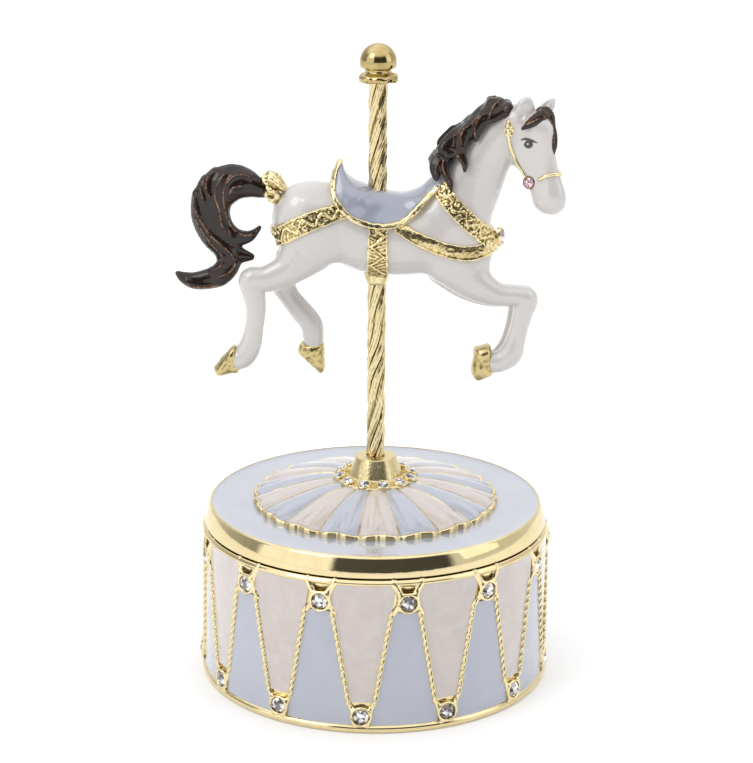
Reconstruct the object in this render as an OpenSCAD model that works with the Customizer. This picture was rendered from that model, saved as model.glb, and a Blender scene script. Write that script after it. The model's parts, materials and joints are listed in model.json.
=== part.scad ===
// Wind-up music box: an enamelled drum with a turning lid that carries a
// carousel horse on a twisted pole. The horse faces +X, the drum stands on z = 0
// and the pole axis is the Z axis. All sizes are in millimetres.

/* [Drum] */
// Outer radius of the drum at its foot
drum_r = 42.1; // [42:0.1:42.3]
// Height of the drum
drum_h = 37.1; // [37:0.1:37.3]
// Radius of the cavity that holds the movement
cavity_r = 39.5; // [39.2:0.1:39.8]
// Number of crystals in each row of settings
repeats = 13; // [12:1:14]
// Angle of the first upper setting, from +X
first_setting = -107.8; // [-110:0.1:-100]
// Height of the upper row of crystals
upper_z = 31.6; // [31.5:0.1:32.3]
// Height of the lower row of crystals
lower_z = 4.2; // [4.2:0.1:4.8]
// Crystal radius on the drum
drum_gem_r = 1.85; // [1.5:0.05:1.9]

/* [Lid and dome] */
// Outer radius of the lid
lid_r = 41.0; // [40.8:0.1:41.1]
// Height of the lid's lower edge
lid_z = 37.4; // [37.4:0.1:37.6]
// Height of the lid's polished band
lid_band = 4.8; // [4.7:0.1:5]
// Outer radius of the scalloped dome
dome_r = 29.8; // [28:0.1:31]
// Enamel panels on the dome
panels = 18; // [18:2:18]
// Crystals on the collar
collar_gems = 12; // [10:1:13]

/* [Pole] */
// Radius of the twisted pole
pole_r = 2.1; // [2:0.05:2.1]
// Height of the finial ball's centre
finial_z = 147.3; // [147:0.1:148]
// Radius of the finial ball
finial_r = 4.05; // [3.9:0.05:4.1]

/* [Horse] */
// Height of the belly above the table
belly_z = 97.6; // [96:0.1:98.5]
// Thickness of the cast harness straps
strap_t = 0.55; // [0.4:0.05:0.7]

/* [Movement] */
// Height of the bottom plate's lower face: the key turns below it
plate_z = 9.0; // [9:0.1:9]
// Teeth on the barrel's crown wheel
crown_teeth = 36; // [36:1:36]
// Teeth on the cylinder's pinion
pinion_teeth = 12; // [12:1:12]
// Teeth on the cylinder's wheel
wheel_teeth = 40; // [40:1:40]
// Teeth on the governor pinion
small_teeth = 10; // [10:1:10]
// Teeth on the worm wheel
worm_teeth = 24; // [24:1:24]
// Teeth on the winding ratchet
ratchet_teeth = 12; // [12:1:12]
// Notes on the comb
notes = 18; // [18:1:18]
// Radius of the winding arbor
arbor_r = 2.0; // [2:0.1:2]

/* [Hidden] */

$fn = 96;
fit = 0.05;
pitch_a = 360 / repeats;
lid_top = lid_z + lid_band;
dome_floor = lid_top - 0.35;
bed_z = plate_z + 1.5;
bed_top = bed_z + 1.5;

gold = [0.86, 0.74, 0.45];
steel = [0.72, 0.72, 0.74];
brass = [0.80, 0.66, 0.36];
blue = [0.74, 0.78, 0.88];
cream = [0.87, 0.82, 0.79];
white = [0.90, 0.88, 0.87];
hair = [0.10, 0.08, 0.08];
clear = [0.92, 0.94, 0.97];
pink = [0.88, 0.62, 0.68];

// ---------------------------------------------------------------- helpers

// A ring with its lower face at z
module ring(r_in, r_out, z, h) {
  translate([0, 0, z]) difference() {
    cylinder(r = r_out, h = h);
    translate([0, 0, -1]) cylinder(r = r_in, h = h + 2);
  }
}

// A plain rod with its lower end at z
module rod(r, z, h) {
  translate([0, 0, z]) cylinder(r = r, h = h, $fn = 48);
}

// Points its children along +X at the given angle
module around(a) {
  rotate([0, 0, a]) children();
}

// Lays its children along +X: their z becomes x
module along_x(x, y, z) {
  translate([x, y, z]) rotate([0, 90, 0]) children();
}

// A countersunk screw head up, its head's top at z = 0
module screw(head_r, shank_r, length) {
  difference() {
    union() {
      translate([0, 0, -0.9]) cylinder(r = head_r, h = 0.9, $fn = 32);
      translate([0, 0, -length]) cylinder(r = shank_r, h = length - 0.5, $fn = 32);
    }
    translate([-head_r, -0.2, -0.4]) cube([2 * head_r, 0.4, 1]);
  }
}

// A spur gear blank with straight trapezoid teeth, thin enough to run free
module gear(teeth, module_mm, h, share = 0.36) {
  pitch_r = teeth * module_mm / 2;
  root_r = pitch_r - 1.15 * module_mm;
  tip_r = pitch_r + 0.85 * module_mm;
  base_w = PI * module_mm * (share + 0.10);
  tip_w = PI * module_mm * (share - 0.16);
  linear_extrude(h) union() {
    circle(r = root_r, $fn = 48);
    for (i = [0:teeth - 1])
      rotate(i * 360 / teeth)
        polygon([[root_r - 0.3, -base_w / 2], [tip_r, -tip_w / 2],
                 [tip_r, tip_w / 2], [root_r - 0.3, base_w / 2]]);
  }
}

// ---------------------------------------------------------------- drum

// Angle of the k-th upper setting, and of the lower one after it
function upper_a(k) = first_setting + k * pitch_a;
function lower_a(k) = upper_a(k) + pitch_a / 2;

wall_r = drum_r - 1.1;
enamel_r = drum_r - 0.65;
rim_r = drum_r - 0.9;
rope_r = 0.6;
bezel_r = drum_gem_r + 0.6;
rim_low = 1.6;
rim_high = 1.4;

// An enamel panel outline is extruded outwards along +X and cut to the drum's curve
function wide(deg) = enamel_r * sin(deg);

module enamel_ring() {
  ring(wall_r, enamel_r, rim_low, drum_h - rim_high - rim_low);
}

module blue_outline() {
  polygon([[rim_low - 1, -wide(9.8)], [7.3, -wide(8.6)], [29.0, -wide(3.4)],
           [29.0, wide(3.4)], [7.3, wide(8.6)], [rim_low - 1, wide(9.8)]]);
}

module cream_outline() {
  polygon([[8.0, -wide(3.0)], [29.5, -wide(8.2)], [drum_h, -wide(8.6)],
           [drum_h, wide(8.6)], [29.5, wide(8.2)], [8.0, wide(3.0)]]);
}

module outward() {
  rotate([0, -90, 0]) translate([0, 0, -drum_r - 2]) linear_extrude(6) children();
}

// One twisted rope between a lower and an upper setting
module rope(a_low, a_high) {
  r = wall_r + 0.35;
  p = [r * cos(a_low), r * sin(a_low), 6.8];
  q = [r * cos(a_high), r * sin(a_high), 29.9];
  d = q - p;
  translate(p)
    rotate([0, acos(d[2] / norm(d)), atan2(d[1], d[0])])
      cylinder(r = rope_r, h = norm(d), $fn = 20);
}

// A round setting that stands out of the wall along +X
module bezel(z) {
  translate([wall_r - 0.5, 0, z]) rotate([0, 90, 0]) difference() {
    cylinder(r = bezel_r, h = 1.7, $fn = 32);
    translate([0, 0, 0.7]) cylinder(r = drum_gem_r, h = 2, $fn = 32);
  }
}

// Two posts that tie an upper setting to the top rim
module yoke() {
  for (side = [-1, 1])
    translate([wall_r - 0.4, side * 2.0 - 0.7, upper_z + 1.4])
      cube([1.1, 1.4, drum_h - 1 - upper_z - 1.4]);
}

// One post that ties a lower setting to the bottom rim
module foot_post() {
  translate([wall_r - 0.4, -1.5, rim_low - 0.6]) cube([1.1, 3.0, 1.2]);
}

boss_angles = [75, 195, 300];

module drum_casting() {
  color(gold) union() {
    difference() {
      union() {
        cylinder(r = wall_r, h = drum_h);
        cylinder(r = drum_r, h = rim_low);
        translate([0, 0, drum_h - rim_high]) cylinder(r = rim_r, h = rim_high);
      }
      translate([0, 0, -1]) cylinder(r = cavity_r, h = drum_h + 2);
    }
    for (a = boss_angles) around(a) difference() {
      translate([36.6, 0, bed_z]) cylinder(r = 3.2, h = 6, $fn = 32);
      translate([36.0, 0, bed_z - 1]) cylinder(r = 1.0, h = 6, $fn = 24);
    }
    for (k = [0:repeats - 1]) {
      around(upper_a(k)) {
        bezel(upper_z);
        yoke();
      }
      around(lower_a(k)) {
        bezel(lower_z);
        foot_post();
      }
      rope(lower_a(k) + 4.0, upper_a(k + 1) - 4.4);
      rope(lower_a(k) - 4.0, upper_a(k) + 4.4);
    }
  }
}

// Keeps the enamel panels clear of the settings they run up to
module settings_clearance() {
  for (k = [0:repeats - 1]) {
    around(upper_a(k)) {
      translate([38, 0, upper_z]) rotate([0, 90, 0]) cylinder(r = bezel_r, h = 8, $fn = 32);
      translate([38, -2.7, upper_z + 1]) cube([8, 5.4, 8]);
    }
    around(lower_a(k)) {
      translate([38, 0, lower_z]) rotate([0, 90, 0]) cylinder(r = bezel_r, h = 8, $fn = 32);
      translate([38, -1.5, -1]) cube([8, 3.0, lower_z]);
    }
  }
}

module drum_enamel_blue() {
  color(blue) difference() {
    intersection() {
      enamel_ring();
      for (k = [0:repeats - 1]) around(upper_a(k)) outward() blue_outline();
    }
    settings_clearance();
  }
}

module drum_enamel_cream() {
  color(cream) difference() {
    intersection() {
      enamel_ring();
      for (k = [0:repeats - 1]) around(lower_a(k)) outward() cream_outline();
    }
    settings_clearance();
  }
}

// A cut stone: a girdle with a bevelled crown and a flat table
module gem(r, h) {
  cylinder(r = r, h = h * 0.45, $fn = 24);
  translate([0, 0, h * 0.45]) cylinder(r1 = r, r2 = r * 0.6, h = h * 0.55, $fn = 24);
}

module drum_gems(z, shift) {
  color(clear) for (k = [0:repeats - 1])
    around(upper_a(k) + shift)
      translate([wall_r + 0.2, 0, z]) rotate([0, 90, 0]) gem(drum_gem_r - 0.02, 1.4);
}

module drum_crystals_upper() { drum_gems(upper_z, 0); }
module drum_crystals_lower() { drum_gems(lower_z, pitch_a / 2); }

// ---------------------------------------------------------------- base plates

bed_screw_places = [[-8, -14], [-8, 14], [12, -18], [12, 18]];

module bottom_plate() {
  color(gold) difference() {
    translate([0, 0, plate_z]) cylinder(r = cavity_r - 0.1, h = 1.5);
    translate([0, 0, plate_z - 1]) cylinder(r = 3.0, h = 4);
    for (a = boss_angles) around(a)
      translate([36.0, 0, plate_z - 1]) cylinder(r = 1.3, h = 4, $fn = 24);
    for (p = bed_screw_places)
      translate([p[0], p[1], plate_z - 1]) cylinder(r = 1.3, h = 4, $fn = 24);
  }
}

module bottom_screws() {
  color(steel) for (a = boss_angles) around(a)
    translate([36.0, 0, plate_z - 0.9]) mirror([0, 0, 1]) screw(2.0, 0.95, 6.0);
}

module movement_screws() {
  color(steel) for (p = bed_screw_places)
    translate([p[0], p[1], plate_z - 0.9]) mirror([0, 0, 1]) screw(2.0, 0.95, 3.8);
}

// ---------------------------------------------------------------- movement

cyl_z = 19.87;
cyl_axis_x0 = 10.9;
cyl_r = 6.4;
cyl_x0 = 15.0;
cyl_len = 13.2;
gear_x = 29.9;
worm_x = 32.4;
gov_tilt = 50;
gov_d = 8.90;
gov_y = gov_d * cos(gov_tilt);
gov_z = cyl_z + gov_d * sin(gov_tilt);
wheel_mod = 0.35;
worm_mod = 0.40;
worm_pitch_r = 1.6;
worm_y = gov_y + worm_teeth * worm_mod / 2 + worm_pitch_r;
crown_r = 11.7;
crown_floor = 15.0;

module bedplate() {
  color(brass) difference() {
    intersection() {
      translate([0, 0, bed_z]) cylinder(r = cavity_r - 1.2, h = 1.5);
      translate([-15, -21, bed_z - 1]) cube([60, 42, 4]);
    }
    translate([0, 0, bed_z - 1]) cylinder(r = arbor_r + fit, h = 4, $fn = 48);
    for (p = bed_screw_places)
      translate([p[0], p[1], bed_z - 1]) cylinder(r = 0.95, h = 4, $fn = 24);
  }
}

bridge_z = 27.0;

// The plate that holds the barrel's upper pivot, on two posts
module barrel_bridge() {
  color(brass) difference() {
    union() {
      for (side = [-1, 1])
        translate([0, side * 16, bed_top]) cylinder(r = 2.2, h = bridge_z - bed_top, $fn = 32);
      translate([-3.5, -18.5, bridge_z]) cube([7, 37, 1.2]);
    }
    translate([0, 0, bridge_z - 1]) cylinder(r = arbor_r + fit, h = 4, $fn = 48);
  }
}

module slip_washer() {
  color(cream) ring(arbor_r + 0.1, 4.2, bridge_z + 1.2, 0.5);
}

// The upright that carries the cylinder's inner pivot
module cylinder_bracket() {
  color(brass) difference() {
    union() {
      translate([13.2, -3, bed_top]) cube([1.2, 6, cyl_z - bed_top]);
      along_x(13.2, 0, cyl_z) cylinder(r = 3, h = 1.2, $fn = 32);
    }
    along_x(12, 0, cyl_z) cylinder(r = 1.0 + fit, h = 4, $fn = 32);
  }
}

// Two uprights on one foot hold the cylinder's outer pivot, the governor arbor and the worm
module governor_frame() {
  color(brass) difference() {
    union() {
      translate([28.6, 8.2, bed_top]) cube([6.4, 10.6, 1.0]);
      translate([28.6, 8.2, bed_top]) cube([0.8, 8.2, 10]);
      translate([28.6, 7.4, 21.5]) cube([0.8, 9.0, 1.5]);
      translate([28.6, 3.6, 25.6]) cube([0.8, 5.2, 3.2]);
      translate([28.6, 7.4, 21.5]) cube([0.8, 1.4, 7.3]);
      translate([34.0, -3.0, bed_top]) cube([1.0, 15.5, 5]);
      translate([34.0, -3.0, bed_top]) cube([1.0, 7.0, 10.9]);
      translate([34.0, -3.0, 21.0]) cube([1.0, 11.5, 8.2]);
      translate([worm_x, 17.4, bed_top]) cylinder(r = 0.9, h = 23.7, $fn = 24);
      translate([worm_x - 1, worm_y - 1, 34.9]) cube([2, 17.4 - worm_y + 1.5, 0.8]);
      translate([worm_x - 1, worm_y - 1, bed_top]) cube([2, 2, 4]);
    }
    along_x(26, gov_y, gov_z) cylinder(r = 0.6 + fit, h = 12, $fn = 32);
    along_x(33, 0, cyl_z) cylinder(r = 1.0 + fit, h = 4, $fn = 32);
    translate([worm_x, worm_y, bed_top + 2]) cylinder(r = 0.6 + fit, h = 40, $fn = 32);
  }
}

comb_x0 = 15.2;
comb_w = 12.8;
comb_tip_y = -cyl_r - 0.75;
note_w = comb_w / notes;

// The steel comb: one tooth for each note, cut from a single plate
module comb() {
  color(steel) difference() {
    translate([comb_x0, -20.0, cyl_z - 0.4]) cube([comb_w, 20.0 + comb_tip_y, 0.8]);
    for (i = [1:notes - 1])
      translate([comb_x0 + i * note_w - 0.09, -13.5 + i * 0.12, cyl_z - 2]) cube([0.18, 20, 4]);
    for (x = [2.2, 6.4, 10.6])
      translate([comb_x0 + x, -17.4, cyl_z - 2]) cylinder(r = 0.75, h = 4, $fn = 24);
  }
}

module comb_anvil() {
  color(brass) difference() {
    translate([comb_x0, -20.0, bed_top]) cube([comb_w, 5.5, cyl_z - 0.4 - bed_top]);
    for (x = [2.2, 6.4, 10.6])
      translate([comb_x0 + x, -17.4, cyl_z - 4.4]) cylinder(r = 0.7, h = 6, $fn = 24);
  }
}

module comb_screws() {
  color(steel) for (x = [2.2, 6.4, 10.6])
    translate([comb_x0 + x, -17.4, cyl_z + 1.3]) screw(1.5, 0.7, 5.0);
}

// ---- cylinder

// Track and angle of each pin: a fixed stride spreads the notes round the cylinder
pin_count = 60;

module music_cylinder() {
  color(brass) along_x(cyl_x0, 0, cyl_z) difference() {
    union() {
      cylinder(r = cyl_r, h = cyl_len);
      for (i = [0:pin_count - 1])
        rotate([0, 0, 7 + i * 360 / pin_count])
          translate([cyl_r - 0.4, 0, 0.55 + (i * 7 % notes) * note_w])
            rotate([0, 90, 0]) cylinder(r = 0.2, h = 0.95, $fn = 16);
    }
    translate([0, 0, -1]) cylinder(r = 1.0, h = cyl_len + 2, $fn = 48);
  }
}

// The arbor with the pinion that the crown wheel drives
module cylinder_arbor() {
  color(steel) along_x(cyl_axis_x0, 0, cyl_z) {
    cylinder(r = 1.0, h = 24.1, $fn = 48);
    rotate([0, 0, 15]) gear(pinion_teeth, 0.644, 1.7, 0.34);
  }
}

module cylinder_wheel() {
  color(brass) difference() {
    along_x(gear_x, 0, cyl_z) gear(wheel_teeth, wheel_mod, 1.0);
    along_x(gear_x - 1, 0, cyl_z) cylinder(r = 1.0, h = 4, $fn = 48);
  }
}

// ---- governor

// The governor arbor with its pinion
module governor_arbor() {
  color(steel) along_x(28.1, gov_y, gov_z) {
    cylinder(r = 0.6, h = 7.2, $fn = 32);
    translate([0, 0, 1.6]) rotate([0, 0, gov_mesh]) gear(small_teeth, wheel_mod, 1.4, 0.34);
  }
}
gov_mesh = -3;

module governor_wheel() {
  color(brass) difference() {
    along_x(worm_x - 0.5, gov_y, gov_z)
      gear(worm_teeth, worm_mod, 1.0, 0.34);
    along_x(worm_x - 2, gov_y, gov_z) cylinder(r = 0.6, h = 4, $fn = 32);
  }
}

worm_lead = PI * worm_mod;
worm_turns = 4;
worm_start = 55;

// A single-start worm: an off-centre cam section, twisted
module worm() {
  color(steel) translate([worm_x, worm_y, 0]) {
    rod(0.6, bed_top + 2, 21.5);
    translate([0, 0, gov_z - worm_lead * worm_turns / 2])
      linear_extrude(worm_lead * worm_turns, twist = -360 * worm_turns,
                     slices = 12 * worm_turns, $fn = 0)
        rotate(worm_start) worm_section();
  }
}

// Radius of the worm's section: a thread crest over part of the turn, the root elsewhere
function worm_radius(a) = a < 80 ? 2.0 : a < 150 ? 2.0 - 0.9 * (a - 80) / 70
                        : a < 290 ? 1.1 : 1.1 + 0.9 * (a - 290) / 70;

module worm_section() {
  polygon([for (a = [0:30:330]) worm_radius(a) * [cos(a), sin(a)]]);
}

fly_r = 3.7;

module fly() {
  color(steel) translate([worm_x, worm_y, 31.3]) difference() {
    union() {
      cylinder(r = 1.1, h = 3.0, $fn = 32);
      translate([-fly_r, -0.2, 0]) cube([2 * fly_r, 0.4, 3.0]);
    }
    translate([0, 0, -1]) cylinder(r = 0.6, h = 5, $fn = 32);
  }
}

// ---- barrel and winding

module spring_barrel() {
  color(brass) difference() {
    translate([0, 0, 14.0]) cylinder(r = 10.2, h = 11.2);
    translate([0, 0, 14.8]) cylinder(r = 9.4, h = 11.2);
    translate([0, 0, 13]) cylinder(r = arbor_r + fit, h = 4, $fn = 48);
  }
}

// A contrate wheel pressed round the barrel: its teeth stand up along Z
module crown_wheel() {
  tooth_in = crown_r - 0.7;
  tooth_out = crown_r + 0.7;
  color(brass) {
    ring(10.2, tooth_out, 14.0, crown_floor - 14.0);
    for (i = [0:crown_teeth - 1]) rotate([0, 0, i * 360 / crown_teeth])
      translate([tooth_in, 0, crown_floor]) rotate([90, 0, 90])
        linear_extrude(tooth_out - tooth_in - 0.1)
          polygon([[-0.46, -0.2], [0.46, -0.2], [0.22, 1.5], [-0.22, 1.5]]);
  }
}

module barrel_cap() {
  color(brass) ring(arbor_r, 10.2, 25.2, 0.8);
}

module output_shaft() {
  color(steel) rod(arbor_r, 25.2, 12.6);
}

// A point of the mainspring: it winds outwards from the arbor's hub to the barrel wall
spring_steps = 96;
function spiral(i, thick) = (3.1 + 5.9 * i / spring_steps + thick)
                          * [cos(i * 360 / 16), sin(i * 360 / 16)];

// The mainspring: a flat steel strip, coiled inside the barrel
module mainspring() {
  color(steel) translate([0, 0, 15.1]) linear_extrude(9.8)
    polygon(concat([for (i = [0:spring_steps]) spiral(i, 0)],
                   [for (i = [spring_steps:-1:0]) spiral(i, 0.3)]));
}

module spring_arbor() {
  color(steel) union() {
    rod(arbor_r, 3.0, 21.8);
    rod(3.0, 15.0, 9.6);
  }
}

ratchet_z = bed_top + 0.15;
ratchet_r = 5.6;

module ratchet_wheel() {
  color(steel) difference() {
    translate([0, 0, ratchet_z]) linear_extrude(1.2) union() {
      circle(r = ratchet_r - 1.1, $fn = 48);
      for (i = [0:ratchet_teeth - 1]) rotate(i * 360 / ratchet_teeth)
        polygon([[ratchet_r - 1.4, 0], [ratchet_r, 0], [ratchet_r - 1.15, 2.0],
                 [ratchet_r - 2.2, 1.8]]);
    }
    translate([0, 0, ratchet_z - 1]) cylinder(r = arbor_r, h = 4, $fn = 48);
  }
}

click_x = 7.2;
click_y = 6.4;

module click_post() {
  color(steel) translate([click_x, click_y, bed_top]) cylinder(r = 0.8, h = 1.7, $fn = 32);
}

// The pawl that keeps the spring wound
module click() {
  color(steel) difference() {
    translate([0, 0, ratchet_z + 0.1]) linear_extrude(1.0) union() {
      translate([click_x, click_y]) circle(r = 1.7, $fn = 32);
      polygon([[0.35, 5.0], [1.3, 5.9], [click_x - 0.6, click_y - 1.5],
               [click_x - 0.2, click_y + 1.6], [0.7, 7.0]]);
    }
    translate([click_x, click_y, ratchet_z - 1]) cylinder(r = 0.8 + fit, h = 4, $fn = 32);
  }
}

key_span = 10.5;

// The butterfly key under the drum
module winding_key() {
  color(gold) difference() {
    union() {
      translate([0, 0, 1.8]) cylinder(r = 3.1, h = 6.4, $fn = 48);
      for (side = [-1, 1])
        translate([side * (key_span - 3.3), 0.7, 5.1]) rotate([90, 0, 0])
          cylinder(r = 3.3, h = 1.4, $fn = 48);
      translate([-key_span + 3.3, -0.7, 3.4]) cube([2 * key_span - 6.6, 1.4, 3.4]);
    }
    translate([0, 0, 3.0]) cylinder(r = arbor_r, h = 10, $fn = 48);
    for (side = [-1, 1])
      translate([side * (key_span - 3.3), 2, 5.1]) rotate([90, 0, 0])
        cylinder(r = 1.3, h = 4, $fn = 32);
  }
}

// ---------------------------------------------------------------- lid

lid_floor_top = dome_floor - 0.45;

module lid_plate() {
  color(gold) rotate_extrude() polygon([
    [pole_r, lid_floor_top - 1.2], [lid_r - 2.2, lid_floor_top - 1.2],
    [lid_r - 2.2, lid_z], [lid_r - 0.4, lid_z], [lid_r, lid_z + 1.2],
    [lid_r - 0.1, lid_z + 2.6], [lid_r - 0.5, lid_z + 3.8], [lid_r - 1.1, lid_top],
    [lid_r - 1.5, lid_top], [lid_r - 1.8, dome_floor], [lid_r - 1.8, lid_floor_top],
    [pole_r, lid_floor_top]]);
}

module lid_enamel() {
  color(blue) ring(pole_r, lid_r - 1.8, lid_floor_top, dome_floor - lid_floor_top);
}

module lid_hub() {
  color(brass) difference() {
    translate([0, 0, bridge_z + 1.8]) cylinder(r = 4.6, h = lid_floor_top - 1.2 - bridge_z - 1.8, $fn = 48);
    translate([0, 0, bridge_z]) cylinder(r = arbor_r, h = 10.8, $fn = 48);
    translate([0, 0, bridge_z + 10.8]) cylinder(r = pole_r, h = 10, $fn = 48);
    for (z = hub_screw_z) translate([0, 0, z]) rotate([0, 90, 0]) cylinder(r = 0.9, h = 8, $fn = 24);
  }
}
hub_screw_z = [33.0, 39.0];

module hub_screws() {
  color(steel) for (z = hub_screw_z) translate([2.15, 0, z]) rotate([0, 90, 0]) difference() {
    cylinder(r = 0.9, h = 2.3, $fn = 24);
    translate([-2, -0.15, 1.8]) cube([4, 0.3, 1]);
  }
}

// ---- dome

collar_z = 47.0;
dome_in = 8.0;

// Height of the dome's upper surface at radius r: steep at the collar, flaring to the lid
function dome_z(r) = dome_floor + 0.85
  + (collar_z - dome_floor - 0.85) * pow((dome_r - r) / (dome_r - dome_in), 1.6);

module dome_profile(top, thick) {
  steps = 8;
  polygon(concat(
    [for (i = [0:steps]) let (r = dome_in + (dome_r - dome_in) * i / steps) [r, dome_z(r) + top]],
    [for (i = [steps:-1:0]) let (r = dome_in + (dome_r - dome_in) * i / steps)
      [r, dome_z(r) + top - thick]]));
}

scallops = 2 * panels;
scallop_r = 2.75;

// The scalloped outline of the dome, drawn in from its edge by the given amount
module scallop_outline(inset) {
  circle(r = dome_r - scallop_r + 0.3 - inset);
  for (i = [0:scallops - 1]) rotate(-88 + (i + 0.5) * 360 / scallops)
    translate([dome_r - scallop_r, 0]) circle(r = scallop_r - inset, $fn = 24);
}

// The gold shell under the dome's enamel, with its scalloped edge
module dome_shell() {
  color(gold) intersection() {
    rotate_extrude() dome_profile(0, 0.7);
    translate([0, 0, dome_floor]) linear_extrude(8) scallop_outline(0);
  }
}

module dome_panels(first) {
  step = 360 / panels;
  intersection() {
    union() for (i = [0:panels / 2 - 1])
      rotate([0, 0, -88 + (2 * i + first) * step - step / 2 + 0.5])
        rotate_extrude(angle = step - 1.0) dome_profile(0.36, 0.35);
    translate([0, 0, dome_floor]) linear_extrude(8) scallop_outline(0.5);
  }
}

module dome_cream() { color(cream) dome_panels(0); }
module dome_blue() { color(blue) dome_panels(1); }

// ---- collar and pole

collar_r = 10.9;
flange_h = 1.0;
cup_top = 53.1;

module pole_collar() {
  color(gold) difference() {
    rotate_extrude() polygon([
      [pole_r, collar_z - 0.3], [dome_in - 0.2, collar_z - 0.3], [dome_in - 0.2, collar_z + 0.35],
      [collar_r - 0.8, collar_z - 0.1], [collar_r, collar_z + 0.3],
      [collar_r - 0.3, collar_z + flange_h], [6.4, collar_z + flange_h], [4.8, cup_top],
      [4.2, cup_top], [4.0, cup_top - 1.4], [pole_r, cup_top - 1.4]]);
    for (i = [0:collar_gems - 1]) around(-78 + i * 360 / collar_gems)
      translate([8.5, 0, collar_z + flange_h - 0.5]) cylinder(r = 1.4, h = 2, $fn = 24);
  }
}

module collar_crystals() {
  color(clear) for (i = [0:collar_gems - 1]) around(-78 + i * 360 / collar_gems)
    translate([8.5, 0, collar_z + flange_h - 0.5]) gem(1.38, 1.5);
}

pole_top = finial_z - 4.4;
strand_count = 5;
strand_relief = 0.26;
pole_step = 72 / strand_count;

// The pole's section: one lobe for each strand
module pole_section() {
  polygon([for (a = [0:pole_step:359])
    (pole_r - 0.08 - strand_relief * (1 - cos(strand_count * a))) * [cos(a), sin(a)]]);
}

// The pole: strands twisted round a core, and plain where it enters the lid
module pole() {
  color(gold) union() {
    rod(pole_r, bridge_z + 10.8 + 0.4, 11);
    translate([0, 0, 48])
      linear_extrude(pole_top - 48, twist = -400, slices = 32, $fn = 0) pole_section();
  }
}

module finial() {
  color(gold) rotate_extrude() union() {
    polygon([[0, pole_top], [4.0, pole_top], [4.5, pole_top + 0.5], [4.4, pole_top + 1.3],
             [3.3, pole_top + 1.6], [2.9, finial_z - 2.2], [0, finial_z]]);
    intersection() {
      translate([0, finial_z]) circle(r = finial_r);
      translate([0, 0]) square([10, 200]);
    }
  }
}

// ---------------------------------------------------------------- horse

module on_pole() {
  translate([0, 0, belly_z - 97.6]) children();
}

ball_fn = 18;
lock_fn = 12;

// An ellipsoid
module blob(c, r, grow) {
  translate(c) scale(r + [grow, grow, grow]) sphere(r = 1, $fn = ball_fn);
}

// Skins each pair of neighbouring balls in a list of [x, y, z, radius]
module limb(points, grow = 0, sides = ball_fn) {
  for (i = [0:len(points) - 2]) hull() {
    for (p = [points[i], points[i + 1]])
      translate([p[0], p[1], p[2]]) sphere(r = p[3] + grow, $fn = sides);
  }
}

// A lock of hair, or a fold of ribbon
module lock(points) { limb(points, 0, lock_fn); }

// Trunk sections from croup to breast: centre x, centre z, and three radii
trunk = [
  [-19.4, 112.6, 4.2, 5.2, 5.8],
  [-14.8, 110.0, 8.6, 7.2, 9.9],
  [-7.5, 109.2, 4.0, 6.9, 8.6],
  [0.0, 106.3, 4.0, 7.3, 8.6],
  [7.0, 105.9, 4.0, 7.5, 8.3],
  [14.5, 107.2, 5.0, 7.2, 9.4],
  [20.4, 105.8, 6.0, 6.0, 8.4]
];

neck = [[17.6, 0, 113.0, 8.0], [21.3, -0.1, 119.5, 6.5], [25.0, -0.3, 126.0, 5.3],
        [29.0, -0.5, 131.6, 4.8]];
neck_slim = 0.74;

jowl = [32.4, -1.0, 129.0, 4.6];
poll = [33.8, -0.6, 134.2, 3.7];
forehead = [36.6, -1.6, 132.2, 3.4];
nose = [38.0, -3.0, 123.6, 3.1];
muzzle = [39.4, -4.2, 117.8, 3.8];
chin = [35.8, -2.6, 121.6, 2.1];

near_fore = [[18.5, -3.0, 98.6, 4.0], [24.0, -3.4, 94.8, 3.4], [29.5, -3.4, 93.5, 2.6],
             [34.5, -3.4, 92.9, 3.1], [33.6, -3.4, 86.5, 2.4], [32.6, -3.4, 82.8, 2.4],
             [31.4, -3.4, 79.0, 2.9], [28.2, -3.4, 77.1, 2.8]];
near_hind = [[-15.0, -3.4, 105.5, 6.0], [-19.5, -4.2, 101.0, 4.6], [-24.0, -4.6, 98.5, 3.1],
             [-28.9, -4.6, 98.1, 2.9], [-28.3, -4.6, 91.5, 2.1], [-29.0, -4.6, 84.0, 2.2],
             [-29.6, -4.6, 80.6, 2.6], [-32.0, -4.6, 78.0, 2.6]];
far_hind = [[-15.5, 3.4, 105.0, 6.0], [-19.5, 4.2, 98.6, 4.2], [-22.4, 4.4, 93.6, 3.0],
            [-17.8, 4.4, 87.4, 2.2], [-15.6, 4.4, 84.0, 2.7], [-14.7, 4.4, 80.2, 2.2]];
far_shift = [-0.8, 6.8, -1.9];

// The far foreleg repeats the near one, a little lower and further back
function shifted(points, d) = [for (p = points) [p[0] + d[0], p[1] + d[1], p[2] + d[2], p[3]]];
far_fore = shifted(near_fore, far_shift);

module head_form(grow) {
  limb([jowl, poll, forehead, jowl], grow);
  limb([jowl, nose, forehead], grow);
  limb([nose, muzzle, chin, nose], grow);
  limb([chin, jowl], grow);
}

module barrel_form(grow) {
  for (i = [0:len(trunk) - 2]) hull() {
    for (t = [trunk[i], trunk[i + 1]]) blob([t[0], 0, t[1]], [t[2], t[3], t[4]], grow);
  }
}

module horse_form(grow = 0) {
  barrel_form(grow);
  translate([0, -0.3, 0]) scale([1, neck_slim, 1]) limb(neck, grow);
  head_form(grow);
  for (leg = [near_fore, far_fore, near_hind, far_hind]) limb(leg, grow);
}

near_ear = [[34.0, -2.6, 136.0, 1.7], [34.0, -3.1, 138.8, 1.2], [34.0, -3.2, 140.2, 0.6]];
far_ear = [[37.2, 1.6, 135.4, 1.7], [39.0, 2.8, 138.0, 0.9], [39.7, 3.2, 138.9, 0.5]];

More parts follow.
